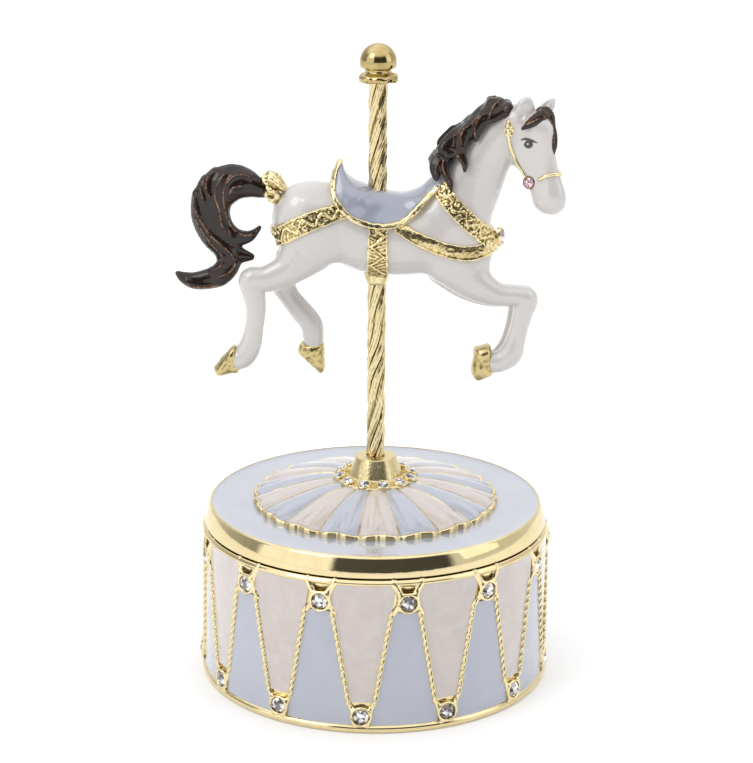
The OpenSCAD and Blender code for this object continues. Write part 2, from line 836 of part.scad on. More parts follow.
module horse_body() {
  color(white) on_pole() difference() {
    union() {
      horse_form();
      limb(near_ear);
      limb(far_ear);
    }
    translate([0, 0, 80]) cylinder(r = pole_r, h = 60, $fn = 48);
  }
}

// A hoof between its coronet and its sole, each given as [x, z, radius, tilt]
module hoof(coronet, sole, y) {
  translate([0, y, 0]) scale([1, hoof_slim, 1]) hull() {
    translate([coronet[0], 0, coronet[1]]) rotate([0, coronet[3], 0])
      cylinder(r = coronet[2], h = 0.2, $fn = 20);
    translate([sole[0], 0, sole[1]]) rotate([0, sole[3], 0])
      cylinder(r = sole[2], h = 0.5, $fn = 20);
  }
}
hoof_slim = 0.78;

module hooves() {
  color(gold) on_pole() difference() {
    union() {
      hoof([27.0, 77.6, 3.2, -82], [23.9, 76.7, 3.7, -98], -3.4);
      hoof([27.0 + far_shift[0], 77.6 + far_shift[2], 3.2, -82],
           [23.9 + far_shift[0], 76.7 + far_shift[2], 3.7, -98], -3.4 + far_shift[1]);
      hoof([-32.9, 77.8, 2.9, -84], [-35.8, 77.4, 3.1, -112], -4.6);
      hoof([-14.8, 79.8, 2.4, -174], [-15.2, 76.0, 3.3, -134], 4.4);
    }
    horse_form();
  }
}

// ---- harness: each strap is a skin on the horse, cut to a band

// A flat band in the XZ plane from p to q, w0 wide at p and w1 at q, spread along Y
module band(p, q, w0, w1, y0 = -12, y1 = 12) {
  u = (q - p) / norm(q - p);
  n = [-u[1], u[0]];
  translate([0, y1, 0]) rotate([90, 0, 0]) linear_extrude(y1 - y0)
    polygon([p - n * w0 / 2, q - n * w1 / 2, q + n * w1 / 2, p + n * w0 / 2]);
}

// The trunk with the roots of the neck and legs: the straps and saddle lie on this
module trunk_form(grow) {
  barrel_form(grow);
  translate([0, -0.3, 0]) scale([1, neck_slim, 1]) limb([neck[0], neck[1]], grow);
  limb([near_fore[0], near_fore[1]], grow);
  limb([far_fore[0], far_fore[1]], grow);
  limb([near_hind[0], near_hind[1]], grow);
  limb([far_hind[0], far_hind[1]], grow);
}

module strap(grow = strap_t) {
  on_pole() difference() {
    intersection() {
      trunk_form(grow);
      union() children();
    }
    horse_form();
    translate([0, 0, 80]) cylinder(r = pole_r, h = 60, $fn = 48);
  }
}

girth_top = 109.6;
saddle_front = [12.8, 117.0];
saddle_low = [2.0, 109.4];

module girth_band() { band([0.6, 94], [0.8, girth_top], 4.6, 4.8); }
module rump_band() { band([-24.5, 107.7], [-8.6, 113.0], 4.4, 3.6); }
module shoulder_band() {
  band([13.6, 119.6], [19.0, 113.4], 4.0, 4.0);
  band([18.4, 113.9], [29.0, 106.3], 4.0, 4.0);
}
module breast_band() {
  band([5.0, 109.0], [14.2, 105.2], 2.6, 3.2);
  band([13.6, 105.4], [21.0, 103.8], 3.2, 3.2);
  band([20.4, 103.8], [29.0, 106.4], 3.2, 3.6);
}

module girth_strap() { color(gold) strap() girth_band(); }
module rump_strap() { color(gold) strap() rump_band(); }
module shoulder_strap() { color(gold) strap() shoulder_band(); }

module breast_strap() {
  color(gold) strap() difference() {
    breast_band();
    shoulder_band();
  }
}

// Outline of the saddle's side: a crescent with a high cantle behind and a low pommel
saddle_outline = [[-9.0, 125.2], [-10.0, 121.5], [-10.0, 117.5], [-8.6, 114.0], [-5.4, 111.1],
                  [-1.2, 109.7], [3.0, 109.5], [6.2, 110.4], [9.0, 112.6], [11.0, 115.2],
                  [12.9, 117.2], [8.0, 117.0], [2.0, 117.6], [-3.4, 118.6], [-6.2, 121.5],
                  [-7.8, 124.4]];

module saddle_region() {
  translate([0, 15, 0]) rotate([90, 0, 0]) linear_extrude(30) polygon(saddle_outline);
}

// Half width, height and radius of the cantle at three levels: x, y, z, radius
cantle = [[-6.8, 4.6, 115.6, 2.4], [-8.0, 3.8, 120.0, 1.7], [-8.7, 2.0, 124.2, 0.9]];

// The seat and cantle rise from the back in one curved piece
module saddle_form(grow) {
  for (i = [0:len(cantle) - 2]) hull() {
    for (c = [cantle[i], cantle[i + 1]], side = [-1, 1])
      translate([c[0], side * c[1], c[2]]) sphere(r = c[3] + grow, $fn = ball_fn);
  }
  trunk_form(strap_t + 0.35 + grow);
}

module saddle() {
  color(blue) on_pole() difference() {
    intersection() {
      saddle_form(0);
      saddle_region();
      saddle_inner();
    }
    horse_form();
    translate([0, 0, 80]) cylinder(r = pole_r, h = 60, $fn = 48);
  }
}

// The saddle without the gold edging that runs round its lower and rear edge
module saddle_inner() {
  translate([0, 15, 0]) rotate([90, 0, 0]) linear_extrude(30)
    translate([0.5, 0.75]) polygon(saddle_outline);
}

module saddle_trim() {
  color(gold) on_pole() difference() {
    intersection() {
      saddle_form(0.25);
      saddle_region();
    }
    saddle_inner();
    horse_form();
    trunk_straps();
    translate([0, 0, 80]) cylinder(r = pole_r, h = 60, $fn = 48);
  }
}

// The straps that end against the saddle's edging
module trunk_straps() {
  intersection() {
    trunk_form(strap_t);
    union() {
      girth_band();
      rump_band();
      breast_band();
      shoulder_band();
    }
  }
}

// ---- bridle

cheek_line = [[30.2, 134.3], [30.4, 130.6], [31.4, 127.2], [33.4, 123.0], [34.6, 121.0]];

module head_shell(grow) {
  head_form(grow);
  translate([0, -0.3, 0]) scale([1, neck_slim, 1]) limb([neck[2], neck[3]], grow);
}

module bridle() {
  color(gold) on_pole() difference() {
    intersection() {
      head_shell(0.45);
      union() for (i = [0:len(cheek_line) - 2])
        band(cheek_line[i], cheek_line[i + 1] + 0.1 * (cheek_line[i + 1] - cheek_line[i]), 1.0, 1.0);
    }
    horse_form();
  }
}

module noseband() {
  color(gold) on_pole() difference() {
    intersection() {
      head_shell(0.45);
      band([36.0, 121.4], [43.4, 123.2], 1.0, 1.0);
    }
    horse_form();
  }
}

// Where the cheek strap ends, on the near and on the far side
bit_places = [[[34.6, -5.3, 121.4], 78], [[36.6, -0.1, 121.0], -104]];

module bridle_crystals() {
  color(pink) on_pole() difference() {
    for (b = bit_places) translate(b[0]) rotate([b[1], 0, 15]) gem(1.35, 1.4);
    head_shell(0.46);
  }
}

module breast_gem() {
  color(pink) on_pole() difference() {
    translate([26.6, 0, 106.9]) rotate([0, 86, 0]) scale([1, 0.85, 1]) gem(2.3, 2.8);
    horse_form();
    trunk_straps();
  }
}

// ---- hair

module mane() {
  color(hair) on_pole() difference() {
    union() {
      lock([[31.0, -0.2, 136.6, 1.8], [27.6, -0.5, 137.4, 2.6], [24.2, -0.5, 134.6, 2.5],
            [20.6, -0.5, 131.6, 2.6], [16.4, -0.6, 128.2, 3.0], [14.2, -0.8, 123.4, 2.4],
            [14.6, -1.2, 120.4, 1.8]]);
      lock([[27.5, -1.5, 136.0, 2.4], [25.6, -3.6, 133.6, 1.7], [23.2, -4.6, 130.2, 1.1]]);
      lock([[23.6, -2.0, 133.0, 2.2], [20.6, -4.2, 129.0, 1.6], [20.8, -5.2, 123.6, 0.8]]);
      lock([[19.0, -1.6, 129.6, 2.4], [17.6, -3.8, 126.4, 1.7], [16.2, -5.0, 119.8, 0.9]]);
      lock([[27.5, 0.8, 136.0, 2.4], [25.6, 2.9, 133.6, 1.7], [23.2, 3.9, 130.2, 1.1]]);
      lock([[23.6, 1.4, 133.0, 2.2], [20.6, 3.6, 129.0, 1.6], [20.8, 4.7, 123.6, 0.8]]);
      lock([[19.0, 1.0, 129.6, 2.4], [17.6, 3.2, 126.4, 1.7], [16.2, 4.4, 119.8, 0.9]]);
    }
    horse_form();
    trunk_straps();
  }
}

module forelock() {
  color(hair) on_pole() difference() {
    union() {
      lock([[36.6, -1.0, 136.4, 1.2], [38.8, -1.4, 134.6, 1.2], [40.0, -2.0, 131.2, 1.1],
            [40.1, -2.6, 128.0, 0.7]]);
      lock([[37.0, -1.8, 135.6, 1.1], [35.2, -3.6, 134.8, 0.9], [33.6, -4.4, 133.8, 0.5]]);
    }
    horse_form();
    limb(near_ear);
    limb(far_ear);
  }
}

tail_main = [[-25.6, 0, 118.6, 2.2], [-29.8, 0, 119.6, 3.6], [-34.0, 0, 119.4, 4.6],
             [-38.0, -0.2, 115.0, 4.9], [-37.8, -0.4, 109.5, 4.4], [-34.8, -0.6, 104.2, 3.6],
             [-33.6, -0.6, 99.0, 2.7], [-38.5, -0.4, 96.9, 2.4], [-42.5, -0.2, 96.9, 2.2],
             [-45.6, 0, 98.0, 1.2]];
tail_curl = [[-34.8, -0.6, 106.2, 3.0], [-31.0, -0.8, 107.0, 2.0], [-27.6, -0.8, 108.6, 1.1]];
tail_tuft = [[-33.0, -0.6, 102.6, 2.8], [-29.8, -0.8, 102.8, 2.0]];

module tail() {
  color(hair) on_pole() difference() {
    union() {
      lock(tail_main);
      lock(tail_curl);
      lock(tail_tuft);
    }
    horse_form();
  }
}

module tail_bow() {
  color(gold) on_pole() difference() {
    union() {
      for (side = [-1, 1]) {
        lock([[-23.4, 0, 119.2, 1.1], [-24.0, side * 2.6, 121.4, 1.1],
              [-22.6, side * 3.6, 119.6, 0.9], [-23.4, 0, 118.8, 1.1]]);
        lock([[-23.4, 0, 118.6, 1.0], [-23.8, side * 2.4, 116.6, 0.8]]);
      }
    }
    horse_form();
    lock(tail_main);
  }
}

// ---------------------------------------------------------------- assembly

drum_casting();
drum_enamel_blue();
drum_enamel_cream();
drum_crystals_upper();
drum_crystals_lower();
bottom_plate();
bottom_screws();
bedplate();
movement_screws();
barrel_bridge();
slip_washer();
comb();
comb_anvil();
comb_screws();
cylinder_bracket();
governor_frame();
click_post();
click();
winding_key();
spring_arbor();
ratchet_wheel();
spring_barrel();
crown_wheel();
barrel_cap();
mainspring();
output_shaft();
lid_hub();
hub_screws();
lid_plate();
lid_enamel();
dome_shell();
dome_cream();
dome_blue();
pole_collar();
collar_crystals();
pole();
finial();
horse_body();
hooves();
mane();
forelock();
tail();
tail_bow();
saddle();
saddle_trim();
girth_strap();
shoulder_strap();
breast_strap();
rump_strap();
bridle();
noseband();
bridle_crystals();
breast_gem();
music_cylinder();
cylinder_arbor();
cylinder_wheel();
governor_wheel();
governor_arbor();
worm();
fly();
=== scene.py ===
"""Looks of the wind-up music box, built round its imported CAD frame.

Shapes are worked out in millimetres and made in metres. The horse, its hair, its harness, the
settings on the drum, the bow and the key are skins of distance fields. The drum, lid, dome, collar
and pole are lathed, swept or gridded. Positions read from the photograph are given as (x, z) in the
plane y = 0 as the eye sees them, and are thrown from the eye onto the surface they lie on.
"""
import copy
import json
import math

import bmesh
import bpy
import numpy as np
import openvdb
from mathutils import Matrix, Vector
from mathutils.bvhtree import BVHTree


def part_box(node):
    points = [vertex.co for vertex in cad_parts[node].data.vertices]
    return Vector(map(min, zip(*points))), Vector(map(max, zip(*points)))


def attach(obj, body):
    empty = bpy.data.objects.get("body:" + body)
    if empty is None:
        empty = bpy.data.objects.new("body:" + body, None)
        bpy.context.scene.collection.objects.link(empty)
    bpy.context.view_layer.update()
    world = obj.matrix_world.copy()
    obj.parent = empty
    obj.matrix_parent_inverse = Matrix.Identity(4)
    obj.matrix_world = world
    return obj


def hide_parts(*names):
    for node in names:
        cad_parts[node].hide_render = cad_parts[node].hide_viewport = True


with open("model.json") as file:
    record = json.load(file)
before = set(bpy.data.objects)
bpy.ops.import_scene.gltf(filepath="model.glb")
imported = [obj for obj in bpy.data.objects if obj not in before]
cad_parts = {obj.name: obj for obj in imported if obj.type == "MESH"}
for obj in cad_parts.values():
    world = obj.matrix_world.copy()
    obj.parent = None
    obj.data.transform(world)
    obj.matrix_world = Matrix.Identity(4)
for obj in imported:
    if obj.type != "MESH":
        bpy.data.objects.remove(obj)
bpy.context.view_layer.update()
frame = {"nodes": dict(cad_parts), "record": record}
scene = bpy.context.scene
MM = 0.001


# ------------------------------------------------------------------ view

EYE = np.array([0.10, -500.0, 221.5])
PITCH = math.radians(16.72)
ROLL = math.radians(0.42)
LENS = 103.8


def add_camera():
    """The camera stands half a metre in front of the drum, a little above the horse."""
    data = bpy.data.cameras.new("camera")
    data.lens = LENS
    data.clip_start = 0.01
    data.clip_end = 60
    camera = bpy.data.objects.new("camera", data)
    aim = Matrix.Rotation(math.pi / 2 - PITCH, 4, "X") @ Matrix.Rotation(ROLL, 4, "Z")
    camera.matrix_world = Matrix.Translation(Vector(EYE * MM)) @ aim
    scene.collection.objects.link(camera)
    scene.camera = camera


def seen(x, z, y=0.0):
    """The point at depth y on the line from the eye through (x, 0, z)."""
    share = (y - EYE[1]) / (0.0 - EYE[1])
    return EYE + share * (np.array([x, 0.0, z]) - EYE)


# ------------------------------------------------------------------ materials

class Look:
    """A material whose textures are laid out in the object's own millimetres."""

    def __init__(self, name, **sockets):
        self.mat = bpy.data.materials.new(name)
        self.mat.use_nodes = True
        self.tree = self.mat.node_tree
        self.shader = self.tree.nodes["Principled BSDF"]
        for key, value in sockets.items():
            self.shader.inputs[key.replace("_", " ")].default_value = value
        place = self.node("ShaderNodeTexCoord").outputs["Object"]
        self.place = self.node("ShaderNodeVectorMath", {"operation": "SCALE"},
                               Vector=place, Scale=1 / MM).outputs[0]

    def node(self, kind, settings=None, **inputs):
        made = self.tree.nodes.new(kind)
        for key, value in (settings or {}).items():
            setattr(made, key, value)
        for key, value in inputs.items():
            self.feed(made.inputs[key.replace("_", " ")], value)
        return made

    def feed(self, socket, value):
        if isinstance(value, bpy.types.NodeSocket):
            self.tree.links.new(value, socket)
        else:
            socket.default_value = value

    def noise(self, scale, detail=3.0, stretch=(1, 1, 1), distortion=0.0):
        """Noise with about scale features to the millimetre."""
        spread = self.node("ShaderNodeVectorMath", {"operation": "MULTIPLY"}, Vector=self.place)
        spread.inputs[1].default_value = stretch
        return self.node("ShaderNodeTexNoise", Vector=spread.outputs[0], Scale=scale,
                         Detail=detail, Distortion=distortion).outputs[0]

    def ramp(self, fac, *stops):
        """A colour or grey that changes along fac; each stop is (position, colour)."""
        made = self.node("ShaderNodeValToRGB", Fac=fac)
        elements = made.color_ramp.elements
        while len(elements) < len(stops):
            elements.new(1.0)
        for element, (position, colour) in zip(elements, stops):
            element.position = position
            element.color = colour if len(colour) == 4 else (*colour, 1)
        return made.outputs[0]

    def between(self, fac, low, high):
        """A value that runs from low to high as fac runs from 0 to 1."""
        made = self.node("ShaderNodeMapRange", Value=fac)
        made.inputs["To Min"].default_value = low
        made.inputs["To Max"].default_value = high
        return made.outputs[0]

    def relief(self, height, depth_mm, strength=1.0):
        bump = self.node("ShaderNodeBump", Strength=strength, Distance=depth_mm * MM, Height=height)
        if self.shader.inputs["Normal"].links:
            self.feed(bump.inputs["Normal"], self.shader.inputs["Normal"].links[0].from_socket)
        self.feed(self.shader.inputs["Normal"], bump.outputs[0])

    def colour(self, value):
        self.feed(self.shader.inputs["Base Color"], value)

    def roughness(self, value):
        self.feed(self.shader.inputs["Roughness"], value)


# The darkest painted shade, at the bottom of the cast ornament's hollows.
GOLD_PAINTED_SHADE = (0.10, 0.06, 0.02)


def grey(value):
    """A neutral colour."""
    return (value, value, value)


def gold_polished(name, dark, light):
    """Plating with faint cloudiness."""
    look = Look(name, Metallic=1.0)
    cloud = look.noise(0.35, 4)
    look.colour(look.ramp(cloud, (0.3, dark), (0.7, light)))
    look.roughness(look.between(look.noise(1.3, 5), 0.03, 0.10))
    look.relief(look.noise(0.5, 2), 0.03, 0.5)
    return look.mat


def gold_cast(name, bright, level, deep):
    """Cast and plated ornament: a painted highlight on the ridges and painted shade, brown, in the hollows.
    """
    look = Look(name, Metallic=1.0)
    hollow = look.node("ShaderNodeAttribute", {"attribute_name": "hollow"}).outputs["Fac"]
    # The ramp paints a highlight where a point stands above its surroundings and shade where it lies in a
    # hollow.
    look.colour(look.ramp(hollow, (0.40, bright), (0.50, level), (0.62, deep), (0.80, GOLD_PAINTED_SHADE)))
    look.roughness(look.between(look.noise(2.5, 4), 0.12, 0.26))
    look.relief(look.noise(4.0, 3), 0.05, 0.6)
    return look.mat


def gold_brushed():
    """Plating over upright file marks."""
    look = Look("gold_brushed", Metallic=1.0)
    streak = look.noise(3.0, 4, (1, 1, 0.12))
    look.colour(look.ramp(streak, (0.3, (0.56, 0.45, 0.22)), (0.6, (0.82, 0.70, 0.41))))
    look.roughness(look.between(streak, 0.36, 0.20))
    look.relief(streak, 0.07, 0.7)
    look.relief(look.noise(1.1, 4), 0.12, 0.5)
    return look.mat


def enamel(name, dark, light, cloud_scale, speckle):
    """Fired enamel: glassy on top, with a faint wave in its surface and cloud in its body."""
    look = Look(name, Coat_Weight=1.0, Coat_Roughness=0.02, Coat_IOR=1.6)
    cloud = look.noise(cloud_scale, 5, distortion=0.6)
    fine = look.noise(5.0, 2)
    mixed = look.node("ShaderNodeMath", {"operation": "MULTIPLY_ADD"})
    look.feed(mixed.inputs[0], fine)
    mixed.inputs[1].default_value = speckle
    look.feed(mixed.inputs[2], cloud)
    look.colour(look.ramp(mixed.outputs[0], (0.3, dark), (0.75 + speckle / 2, light)))
    look.roughness(look.between(cloud, 0.16, 0.30))
    look.relief(look.noise(0.22, 2), 0.10, 0.4)
    return look.mat


def hair_enamel():
    """Brown-black enamel, very glossy, with a breath of copper in it."""
    look = Look("enamel_dark", Coat_Weight=1.0, Coat_Roughness=0.03, Specular_IOR_Level=0.0)
    cloud = look.noise(0.6, 4)
    look.colour(look.ramp(cloud, (0.35, (0.010, 0.007, 0.006)), (0.75, (0.030, 0.015, 0.010))))
    look.roughness(look.between(cloud, 0.10, 0.22))
    look.relief(look.noise(0.5, 3), 0.08, 0.6)
    return look.mat


def copper_edge():
    """Bare metal where the dark enamel is thin."""
    look = Look("copper_edge", Metallic=0.9)
    wear = look.noise(1.6, 4)
    look.colour(look.ramp(wear, (0.36, (0.035, 0.014, 0.010)), (0.52, (0.26, 0.13, 0.08)),
                          (0.72, (0.55, 0.36, 0.24))))
    look.roughness(look.between(wear, 0.4, 0.2))
    return look.mat


def crystal(name, *stops):
    """Foil-backed cut stone: each facet gets a painted reflection, its own random shade between dark and near
    white.
    """
    look = Look(name, Metallic=0.6, Coat_Weight=1.0, Coat_Roughness=0.01, Coat_IOR=1.8)
    tone = look.node("ShaderNodeAttribute", {"attribute_name": "tone"}).outputs["Fac"]
    look.colour(look.ramp(tone, *stops))
    look.roughness(look.between(look.noise(0.8, 1), 0.04, 0.12))
    return look.mat


def brushed_metal(name, dark, light, stretch):
    """Turned or milled movement parts."""
    look = Look(name, Metallic=1.0)
    streak = look.noise(2.0, 5, stretch)
    look.colour(look.ramp(streak, (0.3, dark), (0.7, light)))
    look.roughness(look.between(streak, 0.22, 0.42))
    look.relief(streak, 0.02, 0.5)
    return look.mat


def clouded(name, scale, detail, dark, light, rough, **sockets):
    """A plain finish with faint clouds in its colour and its gloss."""
    look = Look(name, **sockets)
    cloud = look.noise(scale, detail)
    look.colour(look.ramp(cloud, (0.3, dark), (0.7, light)))
    look.roughness(look.between(cloud, *rough))
    return look.mat


GOLD_MAT = gold_polished("gold_polished", (0.76, 0.63, 0.35), (0.83, 0.70, 0.42))
# A darker copy of the polished gold: painted shade on the finial ball, in place of the dark room it would
# reflect.
PAINTED_SHADE_GOLD_MAT = gold_polished("gold_painted_shade", (0.42, 0.32, 0.13), (0.62, 0.50, 0.25))
CAST_MAT = gold_cast("gold_cast", (0.86, 0.74, 0.44), (0.62, 0.49, 0.23), (0.32, 0.23, 0.08))
# A darker copy of the cast gold: painted shade on the hooves, which would otherwise show the bright floor in
# their reflection.
HOOF_MAT = gold_cast("gold_hoof", (0.60, 0.49, 0.24), (0.38, 0.29, 0.12), (0.18, 0.12, 0.04))
POLE_MAT = gold_cast("gold_pole", (0.80, 0.68, 0.40), (0.62, 0.50, 0.26), (0.36, 0.26, 0.11))
BRUSHED_MAT = gold_brushed()
WHITE_MAT = enamel("enamel_white", (0.605, 0.575, 0.555), (0.655, 0.63, 0.61), 0.08, 0.1)
BLUE_MAT = enamel("enamel_blue", (0.42, 0.445, 0.525), (0.47, 0.495, 0.575), 0.10, 0.1)
CREAM_MAT = enamel("enamel_cream", (0.53, 0.465, 0.435), (0.64, 0.575, 0.545), 0.30, 0.5)
HAIR_MAT = hair_enamel()
COPPER_MAT = copper_edge()
# Facet colours from dark to white are painted reflections in the cut stones.
CLEAR_MAT = crystal("crystal_clear", (0.15, (0.03, 0.026, 0.026)), (0.45, (0.20, 0.18, 0.175)),
                    (0.65, (0.55, 0.53, 0.53)), (0.85, (1.0, 1.0, 1.0)))
PINK_MAT = crystal("crystal_pink", (0.10, (0.22, 0.09, 0.13)), (0.45, (0.58, 0.34, 0.42)),
                   (0.85, (1.0, 0.80, 0.87)))
SADDLE_MAT = enamel("enamel_saddle", (0.31, 0.33, 0.41), (0.37, 0.39, 0.47), 0.10, 0.1)
STEEL_MAT = brushed_metal("steel", (0.42, 0.42, 0.44), (0.60, 0.60, 0.62), (1, 0.15, 1))
BRASS_MAT = brushed_metal("brass", (0.55, 0.40, 0.16), (0.74, 0.57, 0.27), (0.15, 1, 1))
NYLON_MAT = clouded("nylon", 1.5, 3, (0.62, 0.60, 0.54), (0.72, 0.70, 0.64), (0.45, 0.6),
                    Subsurface_Weight=0.1, Subsurface_Scale=0.001)
EYE_MAT = clouded("eye_paint", 2.0, 2, (0.008, 0.007, 0.008), (0.020, 0.018, 0.020), (0.2, 0.3),
                  Coat_Weight=1.0, Coat_Roughness=0.05)
LIGHT_MAT = clouded("eye_light", 3.0, 2, grey(0.80), grey(0.86), (0.25, 0.35), Coat_Weight=0.5)

SLOT_MATERIALS = {
    "gold_plate": GOLD_MAT, "enamel_blue": BLUE_MAT, "enamel_cream": CREAM_MAT,
    "enamel_white": WHITE_MAT, "enamel_dark": HAIR_MAT, "crystal_clear": CLEAR_MAT,
    "crystal_pink": PINK_MAT, "brass_plain": BRASS_MAT, "steel_plain": STEEL_MAT, "nylon": NYLON_MAT,
}


def dress_cad_nodes():
    """Gives every CAD node the finish of its slot."""
    for part in frame["record"]["subparts"]:
        mesh = frame["nodes"][part["node"]].data
        mesh.materials.clear()
        mesh.materials.append(SLOT_MATERIALS[part["material_slot"]])


# ------------------------------------------------------------------ mesh helpers

WELD = 1e-7
HOLLOW_ROUNDS = 12
HOLLOW_DEPTH = 0.12


class Shape:
    """Points in millimetres and the faces between them."""

    def __init__(self):
        self.points = []
        self.faces = []
        self.count = 0

    def add(self, points, faces):
        points = np.asarray(points, float)
        self.points.append(points)
        self.faces += [[i + self.count for i in face] for face in faces]
        self.count += len(points)

    def add_shape(self, other, matrix=None):
        points = np.concatenate(other.points)
        if matrix is not None:
            points = points @ matrix[:3, :3].T + matrix[:3, 3]
        self.add(points, other.faces)


def mark_hollows(mesh, rounds, depth):
    """Stores how far each point lies under its smoothed surroundings: 0.5 is level, 1 is depth deep. The cast
    gold materials paint shade and highlight from it.
    """
    count = len(mesh.vertices)
    points, normals = np.empty(count * 3), np.empty(count * 3)
    mesh.vertices.foreach_get("co", points)
    mesh.vertex_normals.foreach_get("vector", normals)
    points, normals = points.reshape(-1, 3) / MM, normals.reshape(-1, 3)
    ends = np.empty(len(mesh.edges) * 2, int)
    mesh.edges.foreach_get("vertices", ends)
    a, b = ends.reshape(-1, 2).T
    degree = (np.bincount(a, minlength=count) + np.bincount(b, minlength=count)).clip(1)[:, None]
    smooth = points.copy()
    for _ in range(rounds):
        total = np.stack([np.bincount(a, smooth[b, k], count) + np.bincount(b, smooth[a, k], count)
                          for k in range(3)], axis=-1)
        smooth = 0.5 * smooth + 0.5 * total / degree
    hollow = ((smooth - points) * normals).sum(1)
    level = mesh.attributes.new("hollow", "FLOAT", "POINT")
    level.data.foreach_set("value", (0.5 + 0.5 * hollow / depth).clip(0, 1))


def mark_tones(mesh, seed):
    """Gives each facet of cut stones its own random brightness, which the stone materials turn into painted
    reflections.
    """
    tone = mesh.attributes.new("tone", "FLOAT", "FACE")
    tone.data.foreach_set("value", np.random.default_rng(seed).uniform(0, 1, len(mesh.polygons)))


def piece(name, shape, material, body, nodes=(), smooth=True, sharp_deg=None):
    """Makes a mesh object of a shape, riding on a body and standing for CAD nodes."""
    mesh = bpy.data.meshes.new(name)
    mesh.from_pydata((np.concatenate(shape.points) * MM).tolist(), [], shape.faces)
    tidy = bmesh.new()
    tidy.from_mesh(mesh)
    bmesh.ops.remove_doubles(tidy, verts=tidy.verts, dist=WELD)
    bmesh.ops.recalc_face_normals(tidy, faces=tidy.faces)
    tidy.to_mesh(mesh)
    tidy.free()
    mesh.polygons.foreach_set("use_smooth", [smooth] * len(mesh.polygons))
    if sharp_deg is not None:
        mesh.set_sharp_from_angle(angle=math.radians(sharp_deg))
    mesh.materials.append(material)
    # Cast gold paints its shade and ridge highlights from this measure of hollows.
    if material in (CAST_MAT, HOOF_MAT, POLE_MAT):
        mark_hollows(mesh, HOLLOW_ROUNDS, HOLLOW_DEPTH)
    if not smooth:
        mark_tones(mesh, len(mesh.polygons))
    obj = bpy.data.objects.new(name, mesh)
    scene.collection.objects.link(obj)
    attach(obj, body)
    if nodes:
        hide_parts(*nodes)
    return obj


def grid_faces(rows, columns, close_rows=False, close_columns=False):
    """Quads of a grid of rows times columns points, numbered row by row."""
    faces = []
    for i in range(rows if close_rows else rows - 1):
        for j in range(columns if close_columns else columns - 1):
            here, below, beside = i * columns, (i + 1) % rows * columns, (j + 1) % columns
            faces.append([here + j, below + j, below + beside, here + beside])
    return faces


def lathe(profile, steps=160):
    """Turns a closed profile of (radius, height) points about the Z axis."""
    profile = np.asarray(profile, float)
    angle = np.linspace(0, 2 * np.pi, steps, endpoint=False)[:, None]
    points = np.stack([np.cos(angle) * profile[:, 0], np.sin(angle) * profile[:, 0],
                       np.broadcast_to(profile[:, 1], (steps, len(profile)))], axis=-1)
    shape = Shape()
    shape.add(points.reshape(-1, 3), grid_faces(steps, len(profile), True, True))
    return shape


def rounded(corners, radius, steps=5):
    """A closed outline with each corner cut back and rounded by a curve of about radius."""
    corners = np.asarray(corners, float)
    outline = []
    for before, here, after in zip(np.roll(corners, 1, 0), corners, np.roll(corners, -1, 0)):
        back, ahead = before - here, after - here
        cut = min(radius, 0.45 * np.linalg.norm(back), 0.45 * np.linalg.norm(ahead))
        start = here + back / np.linalg.norm(back) * cut
        end = here + ahead / np.linalg.norm(ahead) * cut
        for t in np.linspace(0, 1, steps):
            outline.append((1 - t) ** 2 * start + 2 * t * (1 - t) * here + t ** 2 * end)
    return np.array(outline)


def spline(points, per=6):
    """A smooth curve through the points; extra columns such as radii are carried along."""
    points = np.asarray(points, float)
    padded = np.vstack([2 * points[0] - points[1], points, 2 * points[-1] - points[-2]])
    curve = []
    for i in range(1, len(padded) - 2):
        p0, p1, p2, p3 = padded[i - 1:i + 3]
        for t in np.linspace(0, 1, per, endpoint=False):
            curve.append(0.5 * (2 * p1 + (p2 - p0) * t + (2 * p0 - 5 * p1 + 4 * p2 - p3) * t ** 2
                                + (3 * p1 - p0 - 3 * p2 + p3) * t ** 3))
    curve.append(points[-1])
    return np.array(curve)


def frames_along(path):
    """Normal and binormal at each point of a path, without sudden turns."""
    tangents = np.gradient(path, axis=0)
    tangents /= np.linalg.norm(tangents, axis=1)[:, None]
    start = np.array([0.0, 0.0, 1.0]) if abs(tangents[0][2]) < 0.9 else np.array([1.0, 0.0, 0.0])
    normal = start - tangents[0] * start.dot(tangents[0])
    normals = []
    for tangent in tangents:
        normal = normal - tangent * normal.dot(tangent)
        normal = normal / np.linalg.norm(normal)
        normals.append(normal)
    normals = np.array(normals)
    return normals, np.cross(tangents, normals)


def tube(path, radius, sides=10):
    """A round tube along a path, with blunt ends."""
    path = np.asarray(path, float)
    radius = np.broadcast_to(np.asarray(radius, float), (len(path),))
    normals, binormals = frames_along(path)
    angle = np.linspace(0, 2 * np.pi, sides, endpoint=False)
    ring = (np.cos(angle)[None, :, None] * normals[:, None, :]
            + np.sin(angle)[None, :, None] * binormals[:, None, :])
    points = path[:, None, :] + ring * radius[:, None, None]
    shape = Shape()
    faces = grid_faces(len(path), sides, False, True)
    faces.append(list(range(sides))[::-1])
    faces.append([(len(path) - 1) * sides + i for i in range(sides)])
    shape.add(points.reshape(-1, 3), faces)
    return shape


def polar(radius, degrees, z):
    """Points at a radius and an angle round the Z axis."""
    a = np.radians(degrees)
    return np.stack(np.broadcast_arrays(radius * np.cos(a), radius * np.sin(a), z), axis=-1)


def sheet_pair(first, second, quads, borders):
    """A closed solid between two matching sheets of points, with walls along their borders."""
    shift = len(first)
    faces = quads + [[i + shift for i in face][::-1] for face in quads]
    for border in borders:
        for a, b in zip(border, border[1:] + border[:1]):
            faces.append([a, b, b + shift, a + shift])
    shape = Shape()
    shape.add(np.concatenate([first, second]), faces)
    return shape


